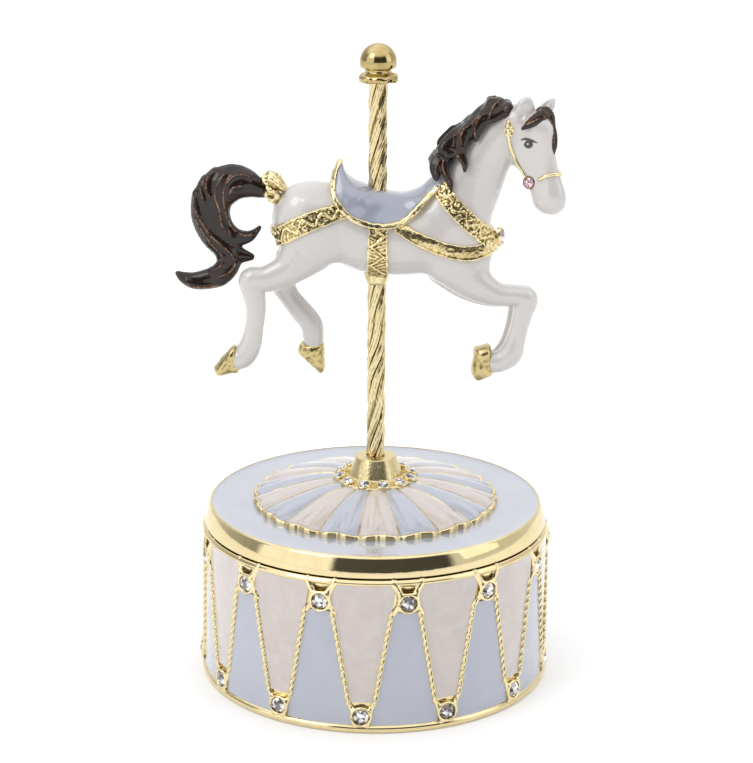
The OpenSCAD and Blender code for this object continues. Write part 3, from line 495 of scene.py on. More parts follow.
def slab(low, high, rows, columns):
    """A closed solid between two matching grids of points, low and high."""
    border = ([(0, j) for j in range(columns)] + [(i, columns - 1) for i in range(1, rows)]
              + [(rows - 1, j) for j in range(columns - 2, -1, -1)]
              + [(i, 0) for i in range(rows - 2, 0, -1)])
    ids = [i * columns + j for i, j in border]
    return sheet_pair(low.reshape(-1, 3), high.reshape(-1, 3), grid_faces(rows, columns), [ids])


# ------------------------------------------------------------------ smooth noise

def value_noise(x, y, z, cell, seed):
    """Smooth noise between -1 and 1 with features about cell millimetres wide."""
    table = np.random.default_rng(seed).uniform(-1, 1, (32, 32, 32))
    whole, part = [], []
    for c in (x, y, z):
        c = np.asarray(c, float) / cell
        base = np.floor(c)
        f = c - base
        whole.append(base.astype(int) & 31)
        part.append(f * f * (3 - 2 * f))
    total = 0.0
    for corner in range(8):
        i, j, k = corner & 1, corner >> 1 & 1, corner >> 2
        weight = ((part[0] if i else 1 - part[0]) * (part[1] if j else 1 - part[1])
                  * (part[2] if k else 1 - part[2]))
        total = total + weight * table[(whole[0] + i) & 31, (whole[1] + j) & 31, (whole[2] + k) & 31]
    return total


def wobble(points, cell, amount, seed):
    """Moves points of a casting off their true place by smooth noise."""
    shift = [value_noise(points[:, 0], points[:, 1], points[:, 2], cell, seed + k) for k in range(3)]
    return points + amount * np.stack(shift, axis=-1)


# ------------------------------------------------------------------ cut stones

def brilliant(radius, facets=8):
    """A round brilliant: table, crown and a shallow pavilion, with its girdle at z = 0."""
    step = 2 * np.pi / facets

    def ring(share, z, shift, count=facets):
        a = (np.arange(count) + shift) * 2 * np.pi / count
        return np.stack([radius * share * np.cos(a), radius * share * np.sin(a), np.full(count, z)], -1)

    points = np.concatenate([ring(0.52, 0.40 * radius, 0), ring(0.80, 0.24 * radius, 0.5),
                             ring(1.0, 0.0, 0, 2 * facets),
                             [[0, 0, -0.45 * radius], [0, 0, 0.43 * radius]]])
    table, middle, girdle, culet = 0, facets, 2 * facets, 4 * facets
    faces = []
    for i in range(facets):
        j, before = (i + 1) % facets, (i - 1) % facets
        g = [girdle + (2 * i + k) % (2 * facets) for k in (0, 1, 2)]
        faces.append([culet + 1, table + i, table + j])
        faces.append([table + i, middle + i, table + j])
        faces.append([table + i, middle + before, g[0], middle + i])
        faces.append([middle + i, g[0], g[1]])
        faces.append([middle + i, g[1], g[2]])
        faces.append([culet, g[1], g[0]])
        faces.append([culet, g[2], g[1]])
    shape = Shape()
    shape.add(points @ np.array(Matrix.Rotation(step * 0.3, 3, "Z")).T, faces)
    return shape


def aimed(position, direction, spin=0.0):
    """A matrix that takes the Z axis to direction and the origin to position."""
    turn = Vector(direction).to_track_quat("Z", "Y").to_matrix().to_4x4()
    return np.array(Matrix.Translation(Vector(position)) @ turn @ Matrix.Rotation(spin, 4, "Z"))


# ------------------------------------------------------------------ distance fields

FAR = 9.0
REACH = 3.2


class Field:
    """Distances to a form on a regular grid, in millimetres, negative inside."""

    def __init__(self, low, high, step):
        self.low = np.array(low, float)
        self.step = step
        self.count = np.ceil((np.array(high, float) - self.low) / step).astype(int) + 1
        self.value = np.full(self.count, FAR, np.float32)

    def blank(self):
        """An empty field on the same grid."""
        other = copy.copy(self)
        other.value = np.full(self.count, FAR, np.float32)
        return other

    def window(self, low, high):
        """The grid's part between two corners, as slices and as its x, y and z."""
        first = np.clip(np.floor((low - self.low) / self.step).astype(int), 0, self.count)
        last = np.clip(np.ceil((high - self.low) / self.step).astype(int) + 1, 0, self.count)
        part = tuple(slice(a, b) for a, b in zip(first, last))
        axes = [(self.low[i] + self.step * np.arange(first[i], last[i])).astype(np.float32) for i in range(3)]
        return part, (axes[0][:, None, None], axes[1][None, :, None], axes[2][None, None, :])

    def everywhere(self):
        return self.window(self.low, self.low + self.step * (self.count - 1))[1]

    def unite(self, other, part, soft):
        """Joins another form to a part of the grid."""
        self.value[part] = soft_min(self.value[part], other, soft)

    def sample(self, points):
        """The field at any points, by blending the eight nearest grid values."""
        place = np.clip((points - self.low) / self.step, 0, self.count - 1.001)
        base = place.astype(int)
        f = place - base
        total = 0.0
        for corner in range(8):
            shift = np.array([corner & 1, corner >> 1 & 1, corner >> 2])
            weight = np.prod(np.where(shift, f, 1 - f), axis=1)
            i, j, k = (base + shift).T
            total = total + weight * self.value[i, j, k]
        return total


def soft_min(a, b, soft):
    """The lower of two distances, with a fillet of about soft where they meet."""
    near = np.maximum(soft - np.abs(a - b), 0)
    return np.minimum(a, b) - near * near / (4 * soft)


def soft_max(a, b, soft):
    """The higher of two distances, rounded where they meet."""
    return -soft_min(-a, -b, soft)


def cone(x, y, z, a, b):
    """Distance to a round cone; a station is x, y, z, radius, and its width over its height."""
    d = b[:3] - a[:3]
    t = ((x - a[0]) * d[0] + (y - a[1]) * d[1] + (z - a[2]) * d[2]) / max(float(d @ d), 1e-9)
    t = np.clip(t, 0, 1)
    slim = a[4] + t * (b[4] - a[4])
    px = x - a[0] - t * d[0]
    py = (y - a[1] - t * d[1]) / slim
    pz = z - a[2] - t * d[2]
    return np.sqrt(px * px + py * py + pz * pz) - (a[3] + t * (b[3] - a[3]))


def lay_chain(field, stations, soft, per=4, turn=None):
    """Unites a smooth chain of round cones with a field. turn maps the grid into the chain's frame."""
    stations = np.array([s if len(s) == 5 else (*s, 1.0) for s in stations], float)
    chain = spline(stations, per) if len(stations) > 2 else stations
    reach = stations[:, 3].max() + REACH
    corners = chain[:, :3] if turn is None else turn.out(chain[:, :3])
    part, (x, y, z) = field.window(corners.min(0) - reach, corners.max(0) + reach)
    if turn is not None:
        x, y, z = turn.into(x, y, z)
    own = None
    for a, b in zip(chain, chain[1:]):
        d = cone(x, y, z, a, b)
        own = d if own is None else np.minimum(own, d)
    field.unite(own.astype(np.float32), part, soft)


class Yaw:
    """A frame turned about an upright line: x runs forward and y across."""

    def __init__(self, pivot_x, pivot_y, degrees):
        self.pivot = (pivot_x, pivot_y)
        self.cos, self.sin = math.cos(math.radians(degrees)), math.sin(math.radians(degrees))

    def into(self, x, y, z):
        dx, dy = x - self.pivot[0], y - self.pivot[1]
        return dx * self.cos + dy * self.sin, -dx * self.sin + dy * self.cos, z

    def out(self, points):
        u, v, z = np.asarray(points, float)[..., :3].T
        return np.stack([self.pivot[0] + u * self.cos - v * self.sin,
                         self.pivot[1] + u * self.sin + v * self.cos, z], axis=-1)


def skin(field):
    """The zero surface of a field as a shape, with its points drawn onto the surface."""
    grid = openvdb.FloatGrid(FAR)
    grid.copyFromArray(np.ascontiguousarray(field.value, np.float32))
    points, quads = grid.convertToQuads(0.0)
    points = field.low + field.step * points.astype(float)
    shift = 0.5 * field.step
    for _ in range(2):
        here = field.sample(points)
        slope = np.stack([field.sample(points + shift * e) - field.sample(points - shift * e)
                          for e in np.eye(3)], axis=-1) / (2 * shift)
        size = np.maximum((slope ** 2).sum(1), 0.2)
        move = (-here / size)[:, None] * slope
        points = points + np.clip(move, -0.6 * field.step, 0.6 * field.step)
    shape = Shape()
    shape.add(points, quads[:, ::-1].tolist())
    return shape


# ------------------------------------------------------------------ drum

REPEATS = 13
SETTING_PITCH = 360 / REPEATS
FIRST_SETTING = -107.8
WALL_R = 41.0
DRUM_R = 42.1
RIM_R = 41.2
CAVITY_R = 39.5
ENAMEL_R = 41.45
GEM_R = 1.97
UPPER_Z = 31.6
LOWER_Z = 4.0
UPPER_SHIFT = 0.7
RIM_LOW = 1.6
RIM_HIGH = 1.4
DRUM_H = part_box("drum_casting")[1].z / MM
ROUND_STEPS = 312
BLUE_TOP = 29.3
CREAM_FOOT = 7.4
ROPE_LOW = (4.0, 6.6)
ROPE_HIGH = (4.4, 29.6)


def upper_angle(k):
    """Where the upper setting number k stands, in degrees."""
    return FIRST_SETTING + k * SETTING_PITCH


def lower_angle(k):
    """Where the lower setting number k stands, midway between two upper ones."""
    return upper_angle(k) + SETTING_PITCH / 2


def rope_paths():
    """Where each rope runs on the wall: from beside a lower setting to beside an upper one."""
    t = np.linspace(0, 1, 90)
    z = ROPE_LOW[1] + (ROPE_HIGH[1] - ROPE_LOW[1]) * t
    for k in range(REPEATS):
        for side, upper in ((1, upper_angle(k + 1)), (-1, upper_angle(k))):
            start = lower_angle(k) + side * ROPE_LOW[0]
            end = upper - side * ROPE_HIGH[0]
            yield polar(WALL_R + 0.45, start + (end - start) * t, z)


def twisted_rope(path, strands=2, pitch=3.7, spread=0.27, radius=0.40):
    """Strands wound round a path."""
    normals, binormals = frames_along(path)
    run = np.concatenate([[0], np.cumsum(np.linalg.norm(np.diff(path, axis=0), axis=1))])
    shape = Shape()
    for strand in range(strands):
        phase = 2 * np.pi * (run / pitch + strand / strands)
        line = path + spread * (np.cos(phase)[:, None] * normals + np.sin(phase)[:, None] * binormals)
        shape.add_shape(tube(line, radius, 7))
    return shape


SETTING_LOW = (-5.4, -0.8, -4.2)
SETTING_HIGH = (5.4, 2.4, 5.2)
SETTING_STEP = 0.3
UPPER_ARMS = [[(1.5, 0.4, 1.4, 0.9), (2.1, 0.2, 2.8, 0.85), (3.2, -0.35, 4.6, 1.05)],
              [(1.9, 0.3, -0.6, 0.7), (2.6, 0.3, -1.5, 0.6), (3.3, 0.35, -2.6, 0.55)]]
LOWER_ARMS = [[(1.0, 0.3, -1.6, 0.8), (1.5, 0.4, -2.7, 0.6), (2.3, 0.5, -3.2, 0.4)],
              [(1.8, 0.3, 0.8, 0.7), (2.3, 0.3, 1.9, 0.6), (2.9, 0.35, 3.1, 0.55)]]


def setting(arms, recess, seed):
    """A round setting with arms to a rim and to the ropes; x runs across the wall, y out and z up."""
    field = Field(SETTING_LOW, SETTING_HIGH, SETTING_STEP)
    x, y, z = field.everywhere()
    radial = np.hypot(x, z)
    lip = np.hypot(radial - GEM_R - 0.2, y - 1.05) - 0.3
    cup = soft_max(radial - GEM_R - 0.45, y - 1.0, 0.3)
    field.value = soft_min(lip, cup, 0.3).astype(np.float32)
    for arm in arms:
        for side in (-1, 1):
            lay_chain(field, [(side * px, py, pz, r) for px, py, pz, r in arm], 0.9)
    plate = np.maximum(np.maximum(np.abs(x) - 2.4, y - 0.2), np.maximum(recess[0] - z, z - recess[1]))
    form = soft_min(field.value, plate, 0.5) + 0.10 * value_noise(x, y, z, 1.0, seed)
    well = np.maximum(radial - GEM_R + 0.1, 0.5 - y)
    field.value = np.maximum(soft_max(form, -well, 0.2), -0.6 - y).astype(np.float32)
    return skin(field)


def on_wall(shape, angle, height):
    """Bends a flat shape round the drum's wall at an angle and a height."""
    x, y, z = np.concatenate(shape.points).T
    bent = Shape()
    bent.add(polar(WALL_R + y, angle + np.degrees(x / WALL_R), z + height), shape.faces)
    return bent


def drum_wall():
    """The casting's wall with its two rolled rims, as one closed section."""
    rim_foot = DRUM_H - RIM_HIGH
    section = [
        (CAVITY_R, 0.0), (DRUM_R - 0.25, 0.0), (DRUM_R, 0.5), (DRUM_R, 1.1), (DRUM_R - 0.35, RIM_LOW),
        (WALL_R, RIM_LOW + 0.25), (WALL_R, rim_foot - 0.3), (RIM_R + 0.35, rim_foot + 0.1),
        (RIM_R + 0.5, DRUM_H - 0.8), (RIM_R, DRUM_H - 0.1), (RIM_R - 0.6, DRUM_H), (CAVITY_R, DRUM_H)]
    return lathe(rounded(section, 0.3), ROUND_STEPS)


def drum_casting():
    """The wall with its rims, and the settings and ropes that stand on it."""
    piece("drum_rims", drum_wall(), GOLD_MAT, "drum", ["drum_casting"], sharp_deg=50)
    ornament = Shape()
    upper = [setting(UPPER_ARMS, (0.0, 4.0), seed) for seed in (101, 111, 121)]
    lower = [setting(LOWER_ARMS, (-2.4, 0.0), seed) for seed in (131, 141, 151)]
    for k in range(REPEATS):
        ornament.add_shape(on_wall(upper[k % 3], upper_angle(k) + UPPER_SHIFT, UPPER_Z))
        ornament.add_shape(on_wall(lower[k % 3], lower_angle(k), LOWER_Z))
    for path in rope_paths():
        ornament.add_shape(twisted_rope(path))
    piece("drum_ornament", ornament, CAST_MAT, "drum")


def enamel_panel(left, right, z_low, z_high, seed):
    """A pool of enamel on the wall: flat in the middle and drawn up at its edges."""
    rows, columns = 44, 24
    v = np.linspace(0, 1, rows)[:, None]
    u = np.linspace(0, 1, columns)[None, :]
    z = z_low + (z_high - z_low) * v + 0 * u
    angle = left(z) * (1 - u) + right(z) * u
    edge = np.minimum(np.minimum(u, 1 - u) * 7, np.minimum(v, 1 - v) * 20).clip(0, 1)
    draw = 0.16 * (1 - edge) ** 2
    ripple = 0.03 * np.sin(0.19 * z + seed) * np.sin(0.5 * angle + 2.1 * seed)
    high = polar(ENAMEL_R - 0.08 + draw + ripple, angle, z)
    low = polar(WALL_R - 0.05, angle, z)
    return slab(low, high, rows, columns)


def drum_enamels():
    """Blue panels hang under the upper settings, and cream ones stand on the lower settings."""
    lean = ((SETTING_PITCH / 2 - ROPE_HIGH[0]) - ROPE_LOW[0]) / (ROPE_HIGH[1] - ROPE_LOW[1])

    def half_cream(z):
        return ROPE_LOW[0] + lean * (z - ROPE_LOW[1])

    def half_blue(z):
        return SETTING_PITCH / 2 - half_cream(z)

    blue, cream = Shape(), Shape()
    for k in range(REPEATS):
        a, b = upper_angle(k), lower_angle(k)
        blue.add_shape(enamel_panel(lambda z: a - half_blue(z), lambda z: a + half_blue(z),
                                    RIM_LOW - 0.1, BLUE_TOP, k))
        cream.add_shape(enamel_panel(lambda z: b - half_cream(z), lambda z: b + half_cream(z),
                                     CREAM_FOOT, DRUM_H - RIM_HIGH + 0.1, k + 40))
    piece("drum_panels_blue", blue, BLUE_MAT, "drum", ["drum_enamel_blue"], sharp_deg=60)
    piece("drum_panels_cream", cream, CREAM_MAT, "drum", ["drum_enamel_cream"], sharp_deg=60)


def drum_stones():
    """A clear stone in each setting, each turned its own way."""
    rings = (("upper", UPPER_Z, upper_angle(0) + UPPER_SHIFT), ("lower", LOWER_Z, lower_angle(0)))
    for name, z, first in rings:
        shape = Shape()
        for k in range(REPEATS):
            angle = first + k * SETTING_PITCH
            out = polar(1.0, angle, 0.0)
            shape.add_shape(brilliant(GEM_R), aimed(polar(WALL_R + 0.8, angle, z), out, 0.9 * k))
        piece(f"drum_stones_{name}", shape, CLEAR_MAT, "drum",
              [f"drum_crystals_{name}"], smooth=False)


# ------------------------------------------------------------------ lid and dome

LID_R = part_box("lid_plate")[1].x / MM
LID_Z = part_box("lid_plate")[0].z / MM
LID_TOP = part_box("lid_plate")[1].z / MM
LID_FLOOR = LID_TOP - 0.35
LID_STEPS = 256
POLE_R = 2.1
BAND_TILT = [(0.0, -35), (0.08, 4), (0.15, 8), (0.85, 25), (0.93, 45), (1.0, 80)]


def band_curve():
    """The band's outer line: it leans in more and more, with quick rolls at both edges."""
    share = np.linspace(0, 1, 60)
    tilt = np.radians(np.interp(share, *zip(*BAND_TILT)))
    r, z = np.cumsum(-np.sin(tilt)), np.cumsum(np.cos(tilt))
    swell = (LID_TOP - LID_Z - 0.05) / (z[-1] - z[0])
    r = (r - r.max()) * swell
    return np.stack([LID_R + r, LID_Z + (z - z[0]) * swell], -1)


def lid():
    """The lid's polished band and floor, and the pool of enamel inside its rim."""
    curve = band_curve()
    inner = rounded([curve[-1], (curve[-1][0] - 0.12, LID_TOP), (LID_R - 1.8, LID_TOP - 0.06),
                     (LID_R - 1.85, LID_FLOOR), (LID_R - 1.85, LID_FLOOR - 0.45), (POLE_R, LID_FLOOR - 0.45),
                     (POLE_R, LID_FLOOR - 1.65), (LID_R - 2.2, LID_FLOOR - 1.65), (LID_R - 2.2, LID_Z),
                     curve[0]], 0.1)
    band = np.concatenate([curve[1:-1], inner])
    piece("lid_band", lathe(band, LID_STEPS), GOLD_MAT, "turntable", ["lid_plate"],
          sharp_deg=50)
    r = np.concatenate([[POLE_R], np.linspace(8, LID_R - 2.6, 30), [LID_R - 2.3, LID_R - 2.05, LID_R - 1.82]])
    z = LID_FLOOR + 0.2 * np.clip((r - (LID_R - 3.4)) / 1.55, 0, 1) ** 2
    under = LID_FLOOR - 0.44
    profile = np.concatenate([np.stack([r, z], -1), [[LID_R - 1.82, under], [POLE_R, under]]])
    piece("lid_field", lathe(profile, LID_STEPS), BLUE_MAT, "turntable", ["lid_enamel"],
          sharp_deg=50)


PANELS = 18
SCALLOPS = 36
SCALLOP_PITCH = 360 / SCALLOPS
SCALLOP_R = 3.2
DOME_R = 29.4
DOME_IN = 8.0
DOME_START = -88.0
COLLAR_Z = 47.0


def dome_height(r):
    """Height of the dome's base surface: flat at the collar, rounding down to the lid."""
    foot = LID_FLOOR + 0.5
    inward = (DOME_R - np.minimum(r, DOME_R)) / (DOME_R - DOME_IN)
    return foot + (COLLAR_Z - foot) * np.sin(np.pi / 2 * inward)


def flute(angle, share):
    """A soft swelling of each wedge, and the hollows of the scallops towards the edge."""
    scallop = np.radians((angle - DOME_START) / SCALLOP_PITCH * 180)
    wedge = np.radians((angle - DOME_START) * PANELS / 2)
    hollows = 0.85 * share ** 4 * (np.abs(np.sin(scallop)) ** 0.75 - 0.6)
    return hollows + 0.5 * share * (np.cos(wedge) ** 2 - 0.5)


def scallop_edge(angle):
    """Radius of the dome's edge at an angle: an arc for each scallop."""
    across = np.radians((angle - DOME_START) % SCALLOP_PITCH - SCALLOP_PITCH / 2)
    centre = DOME_R - SCALLOP_R
    return centre * np.cos(across) + np.sqrt(SCALLOP_R ** 2 - (centre * np.sin(across)) ** 2)


def dome_surface(angle, share, lift, inset=0.0):
    """Points on the dome: share runs from 0 at the collar to 1 at the scalloped edge."""
    r = DOME_IN + (scallop_edge(angle) - inset - DOME_IN) * share
    return polar(r, angle, dome_height(r) + flute(angle, share) + lift)


def dome_shell():
    """The gold shell: its edge stands up as a lip round the enamel."""
    rows, columns = 26, SCALLOPS * 12
    share = np.concatenate([np.linspace(0, 0.965, rows - 5), [0.972, 0.980, 0.990, 0.997, 1.0]])[:, None]
    lift = np.concatenate([np.full(rows - 5, 0.15), [0.30, 0.44, 0.46, 0.34, 0.10]])[:, None]
    angle = np.linspace(0, 360, columns, endpoint=False)[None, :]
    high = dome_surface(angle, share, lift)
    low = high.copy()
    low[..., 2] = LID_FLOOR + 0.01
    quads = grid_faces(rows, columns, False, True)
    borders = [[row * columns + j for j in range(columns)] for row in (0, rows - 1)]
    shape = sheet_pair(high.reshape(-1, 3), low.reshape(-1, 3), quads, borders)
    for i in range(PANELS):
        share_line = np.linspace(0.08, 0.975, 30)
        line = dome_surface(DOME_START + (i + 0.5) * 360 / PANELS, share_line, 0.33)
        shape.add_shape(tube(line, 0.10 + 0.05 * np.sin(9 * share_line + 2 * i), 6))
    piece("dome_rim", shape, GOLD_MAT, "turntable", ["dome_shell"], sharp_deg=60)


def dome_wedges(name, first, material, node):
    """Every second wedge of enamel, each drawn up a little between its seams."""
    rows, columns = 40, 30
    shape = Shape()
    for i in range(first, PANELS, 2):
        middle = DOME_START + i * 360 / PANELS
        half = 180 / PANELS - 0.22
        share = np.linspace(0.09, 1.0, rows)[:, None]
        angle = middle + np.linspace(-half, half, columns)[None, :] + 0 * share
        across = np.abs(angle - middle) / half
        pillow = 0.28 * (1 - across ** 3) * (1 - ((share - 0.5) * 2) ** 12)
        high = dome_surface(angle, share, 0.30 + pillow, 0.75)
        low = dome_surface(angle, share, 0.0, 0.75)
        shape.add_shape(slab(low, high, rows, columns))
    piece(name, shape, material, "turntable", [node], sharp_deg=60)


# ------------------------------------------------------------------ collar, pole and finial

CUP_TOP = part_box("pole_collar")[1].z / MM
COLLAR_GEMS = 12
COLLAR_START = -78.0
COLLAR_GEM_R = 1.38


def stone_seat(radius):
    """A shallow cup with a beaded lip that a small stone sits in."""
    return lathe(rounded([(0.02, -0.8), (radius + 0.3, -0.8), (radius + 0.34, 0.1), (radius + 0.1, 0.32),
                          (radius - 0.12, 0.2), (radius - 0.2, -0.2), (0.02, -0.3)], 0.15), 24)


def belly_cap():
    """The pale gold lip round the pole where it leaves the belly."""
    profile = rounded([(1.6, 98.5), (1.6, 95.3), (2.35, 95.3), (2.7, 96.3), (3.2, 98.5)], 0.4)
    cap = lathe(profile, 60)
    cap.points = [wobble(np.concatenate(cap.points), 1.2, 0.18, 25)]
    piece("belly_cap", cap, BRUSHED_MAT, "turntable")


def collar():
    """The flange, the flared cup above it and the stones round its foot."""
    profile = rounded([
        (POLE_R, COLLAR_Z - 0.3), (8.8, COLLAR_Z - 0.5), (9.6, COLLAR_Z - 0.1), (10.0, COLLAR_Z + 0.5),
        (9.6, COLLAR_Z + 1.0), (6.9, COLLAR_Z + 1.15), (6.4, COLLAR_Z + 1.4), (4.85, CUP_TOP - 0.1),
        (4.5, CUP_TOP + 0.05), (POLE_R, CUP_TOP)], 0.3)
    cup = lathe(profile, 120)
    cup.points = [wobble(np.concatenate(cup.points), 1.9, 0.2, 5)]
    seats, stones = Shape(), Shape()
    for i in range(COLLAR_GEMS):
        angle = COLLAR_START + i * 360 / COLLAR_GEMS
        lean = polar(0.35, angle, 1.0)
        place = polar(8.75, angle, COLLAR_Z + 1.35)
        seats.add_shape(stone_seat(COLLAR_GEM_R), aimed(place, lean))
        stones.add_shape(brilliant(COLLAR_GEM_R), aimed(place + 0.1 * lean, lean, 1.7 * i))
    piece("collar_cup", cup, BRUSHED_MAT, "turntable", ["pole_collar"])
    piece("collar_seats", seats, GOLD_MAT, "turntable", sharp_deg=50)
    piece("collar_stones", stones, CLEAR_MAT, "turntable", ["collar_crystals"], smooth=False)


POLE_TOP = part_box("pole")[1].z / MM
POLE_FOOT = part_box("pole")[0].z / MM
POLE_TURN = 980.0
POLE_STRANDS = 5
POLE_CORE = 1.58
TWIST_FOOT = 48
PLAIN_TOP = 52.5
PLAIN_R = 2.05


def pole():
    """Twisted strands, with finer strands laid in between them and the marks of the mould."""
    rows, columns = 520, 90
    z = np.linspace(POLE_FOOT, POLE_TOP + 0.2, rows)[:, None]
    angle = np.linspace(0, 2 * np.pi, columns, endpoint=False)[None, :]
    wander = 0.35 * value_noise(z, 0 * z, 0 * z, 9.0, 3)
    turn = np.radians(POLE_TURN) * (z - TWIST_FOOT) / (POLE_TOP - TWIST_FOOT) + wander
    local = angle - turn
    strand = np.abs(np.sin(POLE_STRANDS / 2 * local)) ** 0.7
    fine = np.sin(17 * local + 2.0 * value_noise(z, 0 * z, 0 * z, 5.0, 8))
    x, y = np.cos(angle), np.sin(angle)
    pits = value_noise(x * 2.1, y * 2.1, z * 0.45, 0.55, 12)
    twisted = POLE_CORE + 0.60 * strand + 0.06 * fine + 0.09 * pits
    plain = np.clip((PLAIN_TOP - z) / 2.0, 0, 1)
    radius = twisted * (1 - plain) + PLAIN_R * plain
    points = np.stack([radius * x, radius * y, z + 0 * angle], axis=-1)
    shape = Shape()
    faces = grid_faces(rows, columns, False, True)
    faces.append(list(range(columns))[::-1])
    faces.append([(rows - 1) * columns + i for i in range(columns)])
    shape.add(points.reshape(-1, 3), faces)
    piece("pole_twist", shape, POLE_MAT, "turntable", ["pole"], sharp_deg=70)


def finial():
    """The ball, its short neck and the lumpy flange under it."""
    low, high = (corner.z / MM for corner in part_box("finial"))
    low -= 0.4
    ball_r = 4.25
    centre = high - ball_r + 0.15
    flange = [(0.01, low), (3.9, low), (4.4, low + 0.4), (4.55, low + 1.1), (4.3, low + 1.9),
              (3.5, low + 2.15), (3.05, low + 2.4), (2.95, low + 2.9), (3.1, low + 3.3)]
    start = math.asin((low + 3.5 - centre) / ball_r)
    arc = [(ball_r * math.cos(a), centre + ball_r * math.sin(a)) for a in np.linspace(start, math.pi / 2, 28)]
    neck = rounded(flange[1:], 0.35)[5:-5]
    shape = lathe(np.concatenate([[flange[0]], neck, arc[:-1], [(0.01, arc[-1][1])]]), 128)
    points = np.concatenate(shape.points)
    lumpy = np.clip((low + 3.0 - points[:, 2]) / 1.0, 0, 1)[:, None]
    shape.points = [points + lumpy * (wobble(points, 1.3, 0.28, 15) - points)]
    piece("finial_ball", shape, PAINTED_SHADE_GOLD_MAT, "turntable", ["finial"], sharp_deg=70)


# ------------------------------------------------------------------ horse

TRUNK = [(-18.5, 0, 112.9, 5.2, 0.88), (-14.9, 0, 110.4, 9.2, 0.76), (-8.5, 0, 109.6, 8.6, 0.79),
         (-2.0, 0, 106.9, 8.8, 0.82), (4.5, 0, 105.9, 8.5, 0.88), (11.0, 0, 106.4, 8.6, 0.86),
         (16.0, 0, 106.4, 8.9, 0.77), (18.8, 0, 105.3, 7.7, 0.76)]
NECK = [(18.0, 0, 112.5, 8.4, 0.71), (21.3, -0.1, 118.6, 7.3, 0.64), (24.7, -0.3, 125.0, 6.0, 0.65),
        (28.4, -0.5, 130.8, 5.0, 0.71), (31.0, -0.6, 133.8, 3.8, 0.80)]
HEAD = Yaw(32.6, -0.8, -28.0)
SKULL = [(0.6, 0, 133.6, 3.8, 0.90), (3.6, 0, 132.8, 3.9, 0.85)]
FACE = [(5.4, 0, 131.6, 3.1, 0.92), (6.0, 0, 127.0, 2.8, 0.84), (7.2, 0, 122.0, 2.8, 0.84),
        (8.2, 0, 118.0, 3.3, 0.90), (8.3, 0, 116.5, 3.5, 0.88)]
CHEEK = [(1.6, 0, 128.6, 4.4, 0.66), (2.4, 0, 126.8, 4.4, 0.64)]
JAW = [(2.9, 0, 124.6, 3.0, 0.70), (4.7, 0, 120.4, 2.5, 0.80), (6.4, 0, 116.6, 2.7, 0.92)]
NEAR_EAR = [(33.2, -2.6, 134.8, 2.0, 0.8), (33.4, -3.0, 137.2, 2.2, 0.58), (33.8, -3.2, 138.6, 1.45, 0.62)]
FAR_EAR = [(37.2, 1.2, 134.8, 1.8, 0.8), (39.0, 1.9, 136.8, 1.5, 0.7), (40.1, 2.3, 138.2, 0.7, 0.8)]
EAR_HOLLOWS = [[(32.6, -4.6, 135.6, 0.5, 1.0), (33.2, -4.8, 137.4, 0.8, 1.0), (33.7, -4.4, 138.9, 0.3, 1.0)],
               [(37.7, 0.9, 136.6, 0.4, 1.0), (38.9, 1.6, 137.9, 0.3, 1.0)]]
NEAR_FORE = [(17.5, -3.0, 101.0, 5.6, 0.75), (22.5, -3.3, 96.6, 4.2, 0.82), (27.5, -3.4, 93.9, 2.9, 0.9),
             (32.0, -3.4, 93.5, 2.55, 0.95), (34.7, -3.4, 92.7, 2.9, 0.92), (34.2, -3.4, 89.4, 2.45, 0.9),
             (33.4, -3.4, 86.0, 2.2, 0.88), (32.6, -3.4, 82.6, 2.35, 0.9), (31.5, -3.4, 79.4, 2.85, 0.9),
             (29.4, -3.4, 77.7, 2.65, 0.9), (27.6, -3.4, 77.3, 2.6, 0.95)]
FAR_FORE = [(x - 0.8, y + 6.6, z - 1.9, r, s) for x, y, z, r, s in NEAR_FORE]
NEAR_HIND = [(-14.6, -3.2, 106.0, 7.0, 0.62), (-19.8, -4.2, 100.2, 4.1, 0.76), (-25.2, -4.6, 97.4, 3.2, 0.85),
             (-29.1, -4.6, 97.0, 2.9, 0.85), (-28.5, -4.6, 93.6, 2.65, 0.85), (-28.1, -4.6, 90.0, 2.35, 0.9),
             (-28.6, -4.6, 85.4, 2.25, 0.9), (-29.5, -4.6, 81.3, 2.6, 0.9), (-31.0, -4.6, 78.8, 2.75, 0.9),
             (-32.5, -4.6, 77.9, 2.6, 0.95)]
FAR_HIND = [(-14.8, 3.2, 105.8, 7.0, 0.62), (-20.4, 4.2, 98.6, 4.0, 0.8), (-22.1, 4.4, 94.4, 3.1, 0.85),
            (-20.6, 4.4, 90.9, 2.5, 0.9), (-17.9, 4.4, 87.4, 2.65, 0.9), (-15.6, 4.4, 84.4, 2.7, 0.9),
            (-15.1, 4.4, 82.0, 2.6, 0.92), (-14.9, 4.4, 79.2, 2.3, 0.95)]


HORSE_LOW = (-36, -11, 73)
HORSE_HIGH = (46, 11, 143)
HORSE_STEP = 0.33


def horse_form(field):
    """Lays the whole horse, without its hooves and hair, into a field."""
    lay_chain(field, TRUNK, 0.5)
    lay_chain(field, NECK, 3.0)
    for side in (-1, 1):
        lay_chain(field, [(18.6, 3.4 * side, 109.5, 4.6, 0.6), (21.4, 3.0 * side, 103.0, 4.2, 0.6)], 3.0)
        lay_chain(field, [(24.3, 1.7 * side, 105.2, 2.5), (23.2, 2.1 * side, 101.6, 2.6)], 2.4)
    for leg in (NEAR_HIND, FAR_HIND, NEAR_FORE, FAR_FORE):
        lay_chain(field, leg, 2.6)
    for part, soft in ((SKULL, 2.6), (CHEEK, 2.0), (FACE, 2.4), (JAW, 1.8)):
        lay_chain(field, part, soft, turn=HEAD)
    lay_chain(field, NEAR_EAR, 0.9)
    lay_chain(field, FAR_EAR, 0.9)


